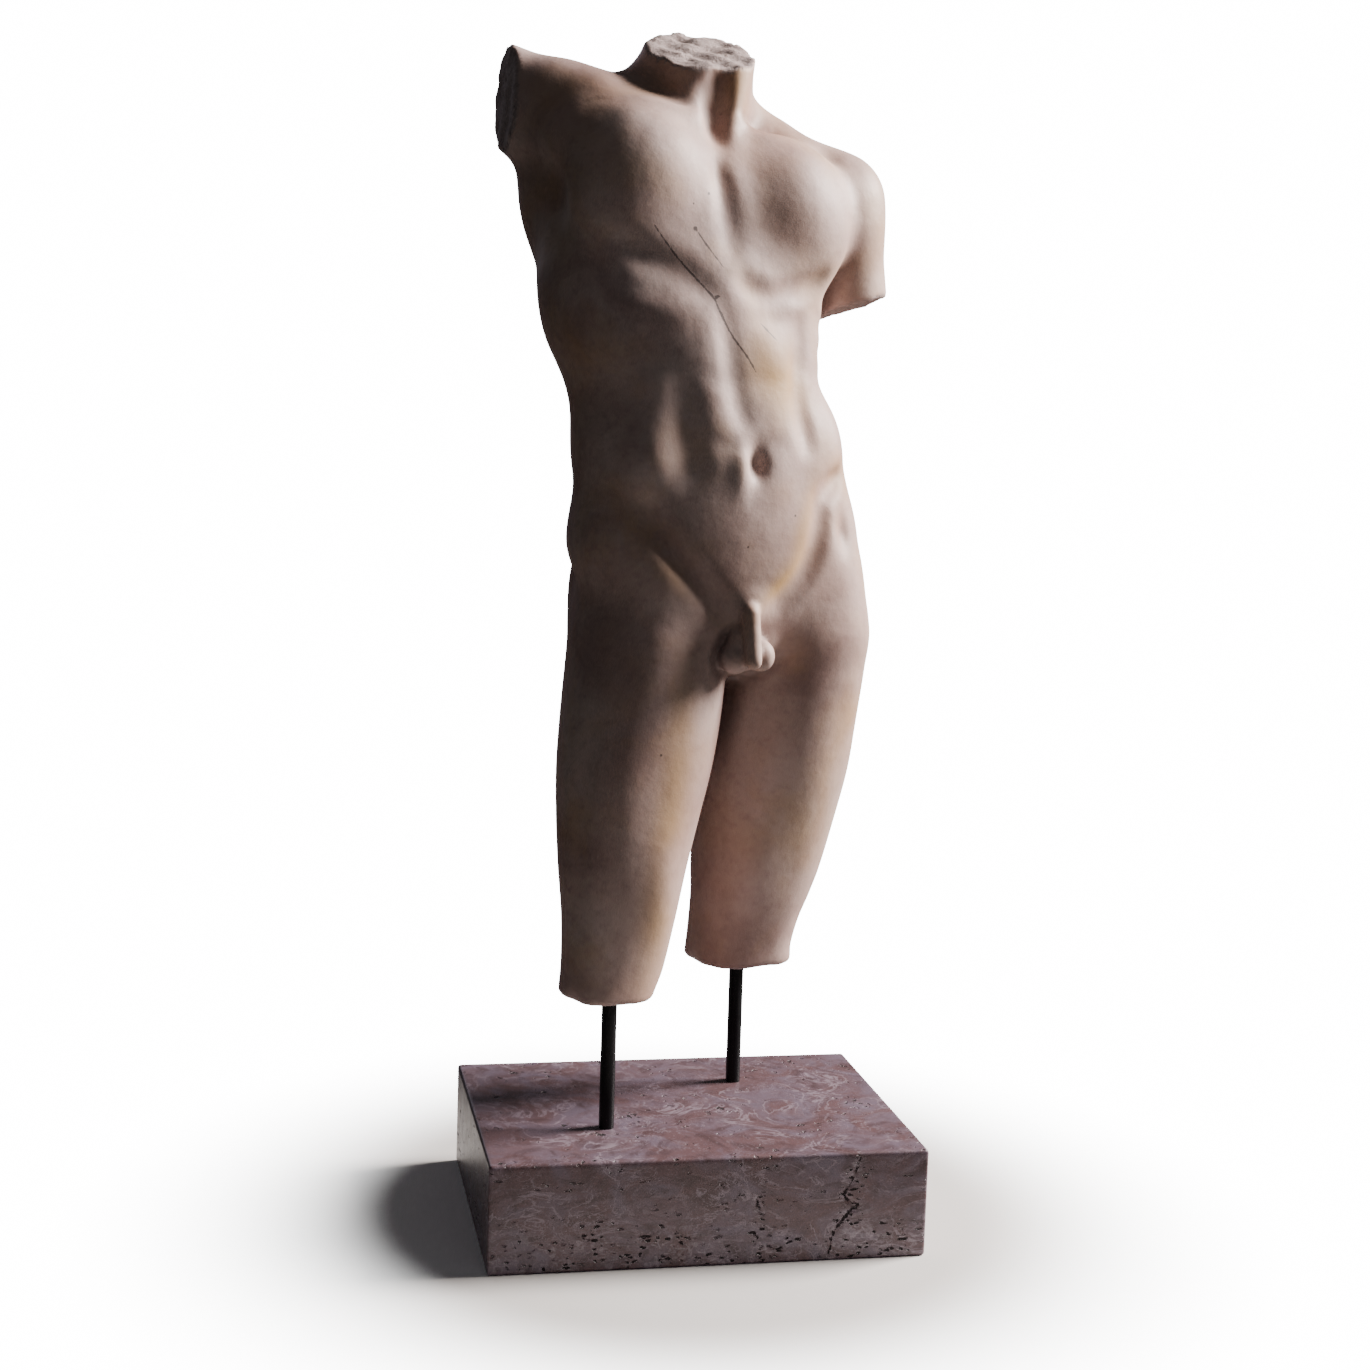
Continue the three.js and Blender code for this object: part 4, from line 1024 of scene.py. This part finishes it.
@dataclass(frozen=True)
class WeatheredMarble:
    """Marble, carved and rubbed smooth, then weathered: a matt, warm skin with clouds of grey and ochre.

    The breaks show fresh grain, so they are paler, greyer and rougher. Dark veins run across the chest.
    """

    warm: str = "#b3968c"
    pale: str = "#c7b1aa"
    mauve: str = "#8b6e6a"
    ochre: str = "#b58f55"
    # Dark brown: the crumbled grain on the breaks, and painted shade laid over the creases and hollows.
    crumbs_and_shade: str = "#472a28"
    vein: str = "#2c2526"
    broken: str = "#b3a29e"
    cloud_mm: float = 150
    stain_mm: float = 70
    mottle_mm: float = 9
    wave_mm: float = 16
    grain_mm: float = 1.6
    crumb_mm: float = 4
    roughness: float = 0.56

    def make(self) -> bpy.types.Material:
        """Builds the material.

        Returns:
            The material.
        """
        f = Finish("weathered_marble")
        place = f.add("TexCoord", {}, {}, "Object")
        stain, hollow, broken = (
            f.add("Attribute", {"attribute_name": name}, {}, "Fac") for name in ("ochre", "hollow", "broken")
        )
        crumbled = f.clouds(place, 5, 6, ((0.52, 0), (0.78, 1)))
        skin = f.layered(
            linear(self.warm),
            (self.pale, f.clouds(place, self.cloud_mm, 3, ((0.38, 0), (0.66, 1)))),
            (self.mauve, f.clouds(place, self.stain_mm * 1.3, 5, ((0.46, 0), (0.72, 1)), 0.6), 0.62),
            (self.ochre, f.clouds(place, self.stain_mm, 5, ((0.5, 0), (0.74, 1)), 0.4), 0.28),
            (self.mauve, f.clouds(place, self.mottle_mm, 4, ((0.5, 0), (0.8, 1))), 0.3),
            (self.ochre, stain, 0.85),
            # Painted shade: the hollow mask darkens creases and hollows towards dark brown.
            (self.crumbs_and_shade, hollow, 0.5),
            (f.layered(linear(self.broken), (self.crumbs_and_shade, crumbled, 0.6)), broken),
            (self.vein, f.marked(place, 6, 2.4, 0.8)),
        )
        wear = f.clouds(place, self.stain_mm, 4, ((0.3, 0), (0.7, 1)))
        worn = f.add(
            "MapRange", {}, {"Value": wear, "To Min": self.roughness - 0.09, "To Max": self.roughness + 0.1}
        )
        fresh = f.add("Math", {"operation": "MULTIPLY"}, {0: broken, 1: 0.88})
        rough = f.add("Math", {"operation": "MAXIMUM"}, {0: worn, 1: fresh})
        crumbling = f.add("Math", {"operation": "MULTIPLY"}, {0: broken, 1: 0.9})
        relief = {}
        for strength, distance, size_mm, detail, roughness in (
            (0.5, 0.0012, self.wave_mm, 5, 0.5),
            (0.22, 0.0003, self.grain_mm, 4, 0.5),
            (crumbling, 0.003, self.crumb_mm, 8, 0.7),
        ):
            links = {"Vector": place, "Scale": per_metre(size_mm), "Detail": detail, "Roughness": roughness}
            height = f.add("TexNoise", {}, links)
            links = {"Strength": strength, "Distance": distance, "Height": height, **relief}
            relief = {"Normal": f.add("Bump", {}, links)}
        links = {
            "Base Color": skin,
            "Roughness": rough,
            "Specular IOR Level": 0.35,
            "Subsurface Weight": 0.06,
            "Subsurface Radius": (0.012, 0.008, 0.006),
            "Subsurface Scale": 0.3,
        }
        f.add("OutputMaterial", {}, {"Surface": f.add("BsdfPrincipled", {}, {**links, **relief})}, None)
        return f.material


@dataclass(frozen=True)
class RedTravertine:
    """Red travertine, sawn and polished: mauve and brown clouds, pale threads, pits that crowd at its foot."""

    red: str = "#5a4548"
    mauve: str = "#635763"
    brown: str = "#423234"
    thread: str = "#8a7c86"
    # Near-black for the pores and the crack: painted shade inside holes that the mesh barely sinks.
    pore: str = "#20171a"
    crust: str = "#a49ba3"
    cloud_mm: float = 60
    swirl_mm: float = 58
    pore_mm: float = 9
    roughness: float = 0.34

    def make(self) -> bpy.types.Material:
        """Builds the material.

        Returns:
            The material.
        """
        f = Finish("red_travertine")
        place = f.add("TexCoord", {}, {}, "Object")
        laid = f.add("Mapping", {}, {"Vector": place, "Scale": (1.0, 1.0, 1.7)})

        def clouds(size_mm: float, detail: float, bend: float, *stops: tuple[float, float]) -> Socket:
            return f.clouds(laid, size_mm, detail, stops, bend, 0.58)

        warp = f.add("TexNoise", {}, {"Vector": laid, "Scale": per_metre(14), "Detail": 4.0}, "Color")
        bent = f.add("VectorMath", {"operation": "MULTIPLY_ADD"}, {0: warp, 1: (0.02, 0.02, 0.01), 2: laid})
        cell = f.add("TexVoronoi", {}, {"Vector": bent, "Scale": per_metre(self.pore_mm), "Randomness": 1.0})
        worn = f.add("Attribute", {"attribute_name": "worn"}, {}, "Fac")
        look = {"Vector": laid, "Roughness": 0.58}
        patchy, polish, grain = (
            f.add("TexNoise", {}, {**look, "Scale": per_metre(size), "Detail": detail})
            for size, detail in ((30, 5), (20, 4), (2.5, 4))
        )
        spread = f.add("Math", {"operation": "MULTIPLY_ADD"}, {0: worn, 1: 0.3, 2: patchy})
        pitted = f.add("ValToRGB", {"ramp": ((0.54, 0), (0.66, 1))}, {"Fac": spread})
        pore = f.add("ValToRGB", {"ramp": ((0.0, 1), (0.2, 1), (0.3, 0))}, {"Fac": cell})
        pores = f.add("Math", {"operation": "MULTIPLY"}, {0: pore, 1: pitted})
        crack = f.marked(place, 4, 7, 1.0)
        split = f.add("Math", {"operation": "MULTIPLY"}, {0: crack, 1: clouds(9, 3, 0, (0.4, 0.2), (0.5, 1))})
        holes = f.add("Math", {"operation": "MAXIMUM"}, {0: pores, 1: split})
        threads = clouds(self.swirl_mm, 4, 1.8, (0.47, 0), (0.498, 0.75), (0.524, 0))
        curls = clouds(self.swirl_mm * 0.4, 3, 2.4, (0.48, 0), (0.5, 0.7), (0.52, 0))
        body = f.layered(
            linear(self.red),
            (self.mauve, clouds(self.cloud_mm, 5, 1.4, (0.4, 0), (0.66, 1))),
            (self.brown, clouds(self.cloud_mm * 0.7, 6, 2.2, (0.48, 0), (0.7, 0.85))),
            (self.thread, threads, clouds(70, 2, 0, (0.42, 0), (0.58, 1))),
            (self.thread, curls, clouds(46, 3, 0, (0.5, 0), (0.62, 1))),
            (self.thread, clouds(3.2, 3, 0, (0.58, 0), (0.72, 0.7)), 0.5),
            (self.crust, clouds(9, 6, 1.5, (0.52, 0), (0.62, 1), (0.74, 0.2)), worn, 0.55),
            # Painted shade: pores and the crack are drawn near-black, as the inside of a hole looks.
            (self.pore, holes),
        )
        dull = f.add(
            "MapRange", {}, {"Value": polish, "To Min": self.roughness - 0.1, "To Max": self.roughness + 0.14}
        )
        open_stone = f.add("Math", {"operation": "MULTIPLY"}, {0: holes, 1: 0.95})
        rough = f.add("Math", {"operation": "MAXIMUM"}, {0: dull, 1: open_stone})
        faint = f.add("Math", {"operation": "MULTIPLY"}, {0: grain, 1: 0.06})
        depth = f.add("Math", {"operation": "SUBTRACT"}, {0: faint, 1: holes})
        relief = f.add("Bump", {}, {"Strength": 0.8, "Distance": 0.003, "Height": depth})
        links = {"Base Color": body, "Roughness": rough, "Normal": relief, "Specular IOR Level": 0.4}
        f.add("OutputMaterial", {}, {"Surface": f.add("BsdfPrincipled", {}, links)}, None)
        return f.material


@dataclass(frozen=True)
class BlackPaintedSteel:
    """Round steel bar in satin black paint: dark, with a soft gloss and faint brush marks along the bar."""

    paint: str = "#040406"
    worn: str = "#0c0b10"
    brush_mm: float = 1.5
    roughness: float = 0.42

    def make(self) -> bpy.types.Material:
        """Builds the material.

        Returns:
            The material.
        """
        f = Finish("black_painted_steel")
        place = f.add("TexCoord", {}, {}, "Object")
        drawn = f.add("Mapping", {}, {"Vector": place, "Scale": (1.0, 1.0, 0.12)})
        marks = f.add("TexNoise", {}, {"Vector": drawn, "Scale": per_metre(self.brush_mm), "Detail": 3.0})
        rough = f.add(
            "MapRange", {}, {"Value": marks, "To Min": self.roughness - 0.08, "To Max": self.roughness + 0.12}
        )
        relief = f.add("Bump", {}, {"Strength": 0.15, "Distance": 0.0002, "Height": marks})
        skin = f.layered(linear(self.paint), (self.worn, marks))
        links = {"Base Color": skin, "Roughness": rough, "Normal": relief, "Specular IOR Level": 0.3}
        f.add("OutputMaterial", {}, {"Surface": f.add("BsdfPrincipled", {}, links)}, None)
        return f.material


# The pieces.


class Piece(Enum):
    """The names of the pieces that the scene makes."""

    TORSO = "marble_torso"
    BLOCK = "travertine_block"


def plain_object(name: str, vertices: Array, faces: Array, smooth: bool) -> bpy.types.Object:
    """Makes an object from vertices and faces.

    Args:
        name: The object's name.
        vertices: Places in metres, one a row.
        faces: Vertex numbers, one face a row.
        smooth: Whether its faces are shaded as one surface.

    Returns:
        The object, linked to the scene.
    """
    mesh = bpy.data.meshes.new(name)
    mesh.from_pydata(vertices.tolist(), [], faces.tolist())
    mesh.validate()
    mesh.polygons.foreach_set("use_smooth", [smooth] * len(mesh.polygons))
    piece = bpy.data.objects.new(name, mesh)
    bpy.context.scene.collection.objects.link(piece)
    return piece


def store(piece: bpy.types.Object, name: str, values: Array) -> None:
    """Stores a number for each vertex, for a material to read."""
    attribute = piece.data.attributes.new(name, "FLOAT", "POINT")
    attribute.data.foreach_set("value", values.astype(np.float32))


def nearest_mark(points: Array, marks: tuple[Mark, ...]) -> tuple[Array, Array]:
    """Finds the nearest mark to each point.

    Args:
        points: Places on the piece, in millimetres.
        marks: The piece's marks.

    Returns:
        The way across from that mark, and its half width.
    """
    ways, widths = (np.array(part) for part in zip(*(mark.across(points) for mark in marks)))
    nearest = np.argmin(np.linalg.norm(ways, axis=2) - widths, axis=0)
    each = np.arange(len(points))
    return ways[nearest, each], widths[nearest, each]


def store_marks(piece: bpy.types.Object, ways: Array, widths: Array) -> None:
    """Stores the way to the nearest mark and its half width for a material to read."""
    attribute = piece.data.attributes.new("mark_way", "FLOAT_VECTOR", "POINT")
    attribute.data.foreach_set("vector", ways.astype(np.float32).ravel())
    store(piece, "mark_width", widths)


@dataclass
class Figure:
    """The marble figure as a finished piece.

    Attributes:
        torso: Its carving.
        finish: Its marble.
        veins: Its dark veins and spots.
        stains: Its warm stains.
    """

    torso: Torso = field(default_factory=Torso)
    finish: WeatheredMarble = WeatheredMarble()
    veins: tuple[Mark, ...] = (
        Mark(((-27, -75, 916),), 1.9),
        Mark(((-15, -70, 947),), 1.2),
        Mark(((-30, -78, 937),), 0.9),
        Mark(((-5, -77, 858),), 1.7),
        Mark(((-27, -75, 916), (-14, -72, 900), (0, -70, 884)), 0.7),
        Mark(
            (
                (-66, -89, 916), (-41, -80, 888), (-11, -78, 859), (-4, -79, 847), (9, -76, 825),
                (24, -73, 807), (33, -70, 794),
            ),
            1.0,
        ),
        Mark(((38, -65, 837), (46, -62, 830), (54, -58, 823)), 0.7),
        Mark(((29, -78, 639),), 0.9),
        Mark(((76, -59, 667),), 1.0),
        Mark(((-47, -90, 453),), 1.0),
    )
    stains: tuple[Stain, ...] = (
        Stain((19, -20, 1050), (16, 34), 0.7, 8),
        Stain((-60, 4, 1040), (26, 30), 0.3),
        Stain((62, -62, 790), (44, 26), 0.9, 60),
        Stain((88, -70, 664), (9, 48), 0.8, 14),
        Stain((62, -74, 604), (9, 36), 0.65, 42),
        Stain((-40, -74, 612), (8, 26), 0.45, -42),
        Stain((-38, -86, 380), (16, 110), 0.8, 6),
        Stain((136, -4, 440), (20, 120), 0.5, 14),
        Stain((128, -16, 706), (22, 16), 0.6, 60),
        Stain((166, 24, 930), (16, 60), 0.5),
        Stain((-110, -30, 960), (34, 60), 0.4),
        Stain((112, -52, 880), (22, 30), 0.5),
    )

    def broken(self, points: Array, normals: Array) -> Array:
        """Tells how far each place belongs to a break.

        Args:
            points: Places on the marble.
            normals: The way it faces there.

        Returns:
            One number from 0 to 1 for each place.
        """
        share = np.zeros(len(points))
        cut = self.torso
        for fracture in (cut.neck_break, cut.left_arm_break, cut.right_arm_break, cut.leg_cut):
            outward = np.array(fracture.outward) / np.linalg.norm(fracture.outward)
            off = np.abs(fracture.height(points))
            facing = np.clip((normals @ outward - 0.45) / 0.3, 0, 1)
            share = np.maximum(share, np.clip(2.2 - off / 1.5, 0, 1) * facing)
        return share

    def make(self) -> bpy.types.Object:
        """Builds the figure's mesh, marks and marble.

        Returns:
            The finished object.
        """
        stone = self.torso.carve()
        vertices, faces = self.torso.surface(self.torso.sample(stone))
        vertices = self.torso.settle(stone, vertices)
        slope = stone.gradient(vertices, 1.2)
        normals = slope / (np.linalg.norm(slope, axis=1)[:, None] + 1e-9)
        piece = plain_object(Piece.TORSO.value, vertices * MM, faces, True)
        # Painted shade: how deeply each place lies in a crease or hollow, which darkens the marble there.
        reaches = (8, 16)  # how far out a hollow is felt for
        around = np.mean([stone.distance(vertices + normals * reach) / reach for reach in reaches], axis=0)
        store(piece, "hollow", np.clip((0.9 - around) * 2.2, 0, 1))
        store(piece, "broken", self.broken(vertices, normals))
        store_marks(piece, *nearest_mark(vertices, self.veins))
        cloud = 0.5 * lattice_noise(vertices, 90, 11) + 0.4 * lattice_noise(vertices, 30, 12)
        stained = np.sum([stain.share(vertices) for stain in self.stains], axis=0)
        store(piece, "ochre", np.clip(stained * (0.9 + cloud) + np.maximum(cloud, 0) * 0.3, 0, 1))
        piece.data.materials.append(self.finish.make())
        log.info("%s: %d faces", piece.name, len(piece.data.polygons))
        return piece


@dataclass
class Support:
    """The block of travertine and the two rods.

    Attributes:
        stone: The block's finish.
        paint: The rods' finish.
        rods: The rods' CAD nodes.
        size: The block's width, depth and height, in millimetres.
        edge: Rounding of its edges.
        grid: Spacing of the lines that divide its faces.
        pit_depth: Depth of the crack and pits.
        pit_slope: Width of their sloping sides.
        worn_top: Height at which the wear round the foot ends.
        worn_fade: Height over which that wear sets in.
        crust_reach: How far from a crack or pit the stone is worn.
        cracks: The crack and the larger pits: half a width, then X and Z of each place on the front.
    """

    stone: RedTravertine = RedTravertine()
    paint: BlackPaintedSteel = BlackPaintedSteel()
    rods: tuple[str, ...] = ("right_leg_rod", "left_leg_rod")
    size: Triple = (400, 300, 100)
    edge: float = 3
    grid: float = 2.6
    pit_depth: float = 1.6
    pit_slope: float = 2.6
    worn_top: float = 46
    worn_fade: float = 30
    crust_reach: float = 14
    cracks: tuple[tuple[float, ...], ...] = (
        (0.9, 136, 96, 129, 75, 122, 61, 130, 51, 123, 40, 113, 26, 109, 5),
        (1.2, 41, 60, 43, 52, 45, 47),
        (1.3, 130, 53, 134, 50, 128, 45),
        (0.8, 39, 30, 43, 24),
        (0.8, 52, 16, 58, 14),
        (0.7, 70, 18, 75, 21),
        (0.8, -116, 31, -110, 29),
        (0.8, -66, 30, -60, 29),
        (0.8, -149, 24, -144, 20),
        (0.7, -46, 8, -38, 10),
        (0.7, -14, 9, -8, 7),
        (0.8, -28, 24, -24, 21),
    )

    def marks(self) -> tuple[Mark, ...]:
        """Lays the crack and pits out on the front face."""
        front = -self.size[1] / 2
        return tuple(
            Mark(tuple((x, front, z) for x, z in zip(run[::2], run[1::2])), width, front + 10)
            for width, *run in self.cracks
        )

    def rounded_box(self) -> tuple[Array, Array, Array]:
        """Lays out a finely divided box with round edges, standing on the ground.

        Returns:
            The vertices in millimetres, the way each faces, and the squares, facing outwards.
        """
        half = np.array(self.size) / 2
        inner = half - self.edge
        lines = []
        for core in inner:
            middle = np.linspace(-core, core, round(2 * core / self.grid) + 1)
            rim = core + self.edge * np.array((0.4, 1.0))
            lines.append(np.r_[-rim[::-1], middle, rim])
        places = []
        squares = []
        for axis in range(3):
            b, c = (axis + 1) % 3, (axis + 2) % 3
            u, v = np.meshgrid(lines[b], lines[c], indexing="ij")
            number = np.arange(u.size).reshape(u.shape)
            around = (number[:-1, :-1], number[1:, :-1], number[1:, 1:], number[:-1, 1:])
            ring = np.stack(around, -1).reshape(-1, 4)
            for side in SIDES:
                sheet = np.empty((u.size, 3))
                sheet[:, axis] = side * half[axis]
                sheet[:, b] = u.ravel()
                sheet[:, c] = v.ravel()
                squares.append((ring if side > 0 else ring[:, ::-1]) + sum(len(part) for part in places))
                places.append(sheet)
        places, welded = np.unique(np.round(np.concatenate(places), 6), axis=0, return_inverse=True)
        core = np.clip(places, -inner, inner)
        outward = (places - core) / np.linalg.norm(places - core, axis=1)[:, None]
        return core + outward * self.edge + (0, 0, half[2]), outward, welded.ravel()[np.concatenate(squares)]

    def block(self) -> bpy.types.Object:
        """Builds the block, with the crack and pits sunk into it.

        Returns:
            The finished object.
        """
        points, outward, squares = self.rounded_box()
        ways, widths = nearest_mark(points, self.marks())
        off = np.linalg.norm(ways, axis=1) - widths
        sunk = self.pit_depth * np.clip((self.pit_depth - off) / self.pit_slope, 0, 1)
        piece = plain_object(Piece.BLOCK.value, (points - outward * sunk[:, None]) * MM, squares, True)
        store_marks(piece, ways, widths)
        upright = np.where(np.abs(outward[:, 2]) < 0.5, 1, 0)
        foot = np.clip((self.worn_top - points[:, 2]) / self.worn_fade, 0, 1) * upright
        patchy = lattice_noise(points, 34, 21) + 0.6 * lattice_noise(points, 14, 22)
        near = np.clip(1 - off / self.crust_reach, 0, 1)
        store(piece, "worn", np.clip(np.maximum(foot * (0.45 + 0.8 * patchy), near * 0.8), 0, 1))
        piece.data.materials.append(self.stone.make())
        log.info("%s: %d faces", piece.name, len(piece.data.polygons))
        return piece

    def dress(self, nodes: dict[str, bpy.types.Object]) -> None:
        """Paints the CAD rods.

        Args:
            nodes: The CAD nodes by name.
        """
        paint = self.paint.make()
        for name in self.rods:
            for material_slot in nodes[name].material_slots:
                material_slot.material = paint
            log.info("%s: %s", name, paint.name)


# The room.


@dataclass(frozen=True)
class Eye:
    """The camera, where the photographer stood.

    Attributes:
        place: Where it is, in metres.
        yaw: Degrees to the right of straight at the block's front.
        pitch: Degrees above level.
        roll: Degrees that it leans.
        lens: Focal length for a 36 mm wide picture.
    """

    place: Triple = (-0.40375, -1.96754, 0.75940)
    yaw: float = 11.343
    pitch: float = -7.236
    roll: float = -1.743
    lens: float = 57.06

    def make(self) -> None:
        """Sets up the camera."""
        data = bpy.data.cameras.new("camera")
        data.lens = self.lens
        data.sensor_width = 36
        data.clip_end = 50
        camera = bpy.data.objects.new("camera", data)
        bpy.context.scene.collection.objects.link(camera)
        yaw = math.radians(self.yaw)
        pitch = math.radians(self.pitch)
        roll = math.radians(self.roll)
        forward = Vector((math.sin(yaw) * math.cos(pitch), math.cos(yaw) * math.cos(pitch), math.sin(pitch)))
        level = Vector((math.cos(yaw), -math.sin(yaw), 0))
        above = level.cross(forward)
        up = above * math.cos(roll) + level * math.sin(roll)
        right = level * math.cos(roll) - above * math.sin(roll)
        turn = Matrix((right, up, -forward)).transposed()
        camera.matrix_world = Matrix.Translation(self.place) @ turn.to_4x4()
        bpy.context.scene.camera = camera


@dataclass(frozen=True)
class Lamp:
    """A soft square light.

    Attributes:
        name: Its name.
        place: Where it hangs.
        aim: What it faces.
        size: Its side.
        power: In watts.
        colour: Its colour.
    """

    name: str
    place: Triple
    aim: Triple
    size: float
    power: float
    colour: str

    def make(self) -> None:
        """Hangs the light."""
        data = bpy.data.lights.new(self.name, "AREA")
        data.shape = "SQUARE"
        data.size = self.size
        data.energy = self.power
        data.color = linear(self.colour)[:3]
        lamp = bpy.data.objects.new(self.name, data)
        bpy.context.scene.collection.objects.link(lamp)
        lamp.location = self.place
        way = Vector(self.aim) - Vector(self.place)
        lamp.rotation_euler = way.to_track_quat("-Z", "Y").to_euler()


@dataclass(frozen=True)
class Studio:
    """A plain pale floor that fades into a white surround, window light from the right and two faint fills.

    Attributes:
        floor: The floor's colour.
        air: The surround's colour.
        glow: The surround's strength as light.
        white: Its strength as it is seen.
        fade: How far from the middle the floor starts to fade and is gone, in metres.
        lamps: The lights.
    """

    floor: str = "#d6d4d1"
    air: str = "#ffffff"
    glow: float = 0.04
    white: float = 16
    fade: tuple[float, float] = (0.27, 0.6)
    lamps: tuple[Lamp, ...] = (
        Lamp("window", (2.9, 0.32, 2.25), (0.0, 0.0, 0.6), 1.3, 560, "#fff6f1"),
        Lamp("room", (0.6, -3.2, 2.4), (0.0, 0.0, 0.6), 1.6, 4, "#f3f4ff"),
        Lamp("rear", (-1.0, 3.2, 2.2), (0.0, 0.0, 0.6), 1.6, 12, "#f1ecff"),
    )

    def make(self) -> None:
        """Lays the floor and sets up the light."""
        corners = np.array([(-6, -6, 0), (6, -6, 0), (6, 6, 0), (-6, 6, 0)], float)
        floor = plain_object("floor", corners, np.array([[0, 1, 2, 3]]), False)
        f = Finish("pale_floor")
        place = f.add("TexCoord", {}, {}, "Object")
        off = f.add("VectorMath", {"operation": "LENGTH"}, {0: place}, "Value")
        start, end = self.fade
        limits = {"From Min": start, "From Max": end}
        gone = f.add("MapRange", {"interpolation_type": "SMOOTHSTEP"}, {"Value": off, **limits})
        laid = f.add("BsdfPrincipled", {}, {"Base Color": linear(self.floor), "Roughness": 0.85})
        shader = f.add("MixShader", {}, {0: gone, 1: laid, 2: f.add("BsdfTransparent")})
        f.add("OutputMaterial", {}, {"Surface": shader}, None)
        floor.data.materials.append(f.material)
        floor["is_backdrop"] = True
        world = bpy.data.worlds.new("surround")
        bpy.context.scene.world = world
        world.use_nodes = True
        tree = world.node_tree
        lit = tree.nodes["Background"]
        lit.inputs["Color"].default_value = linear(self.air)
        lit.inputs["Strength"].default_value = self.glow
        seen = tree.nodes.new("ShaderNodeBackground")
        seen.inputs["Color"].default_value = linear(self.air)
        seen.inputs["Strength"].default_value = self.white
        path = tree.nodes.new("ShaderNodeLightPath")
        mix = tree.nodes.new("ShaderNodeMixShader")
        tree.links.new(path.outputs["Is Camera Ray"], mix.inputs[0])
        tree.links.new(lit.outputs[0], mix.inputs[1])
        tree.links.new(seen.outputs[0], mix.inputs[2])
        tree.links.new(mix.outputs[0], tree.nodes["World Output"].inputs["Surface"])
        for lamp in self.lamps:
            lamp.make()


def corners(box: tuple[Vector, Vector]) -> list[list[float]]:
    """Turns a box into plain lists of numbers."""
    return [[float(value) for value in corner] for corner in box]


def main() -> None:
    """Loads the frame, builds the pieces in order and measures their size."""
    logging.basicConfig(level=logging.INFO, format="%(message)s")
    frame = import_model()
    cad_box = corners(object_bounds())
    Eye().make()
    Studio().make()
    support = Support()
    support.dress(frame["nodes"])
    for piece, slot, node in ((support.block(), "travertine", "base"), (Figure().make(), "marble", "torso")):
        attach(piece, "root")
        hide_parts(node)
    {"cad": cad_box, "visual": corners(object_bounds())}


if __name__ == "__main__":
    main()
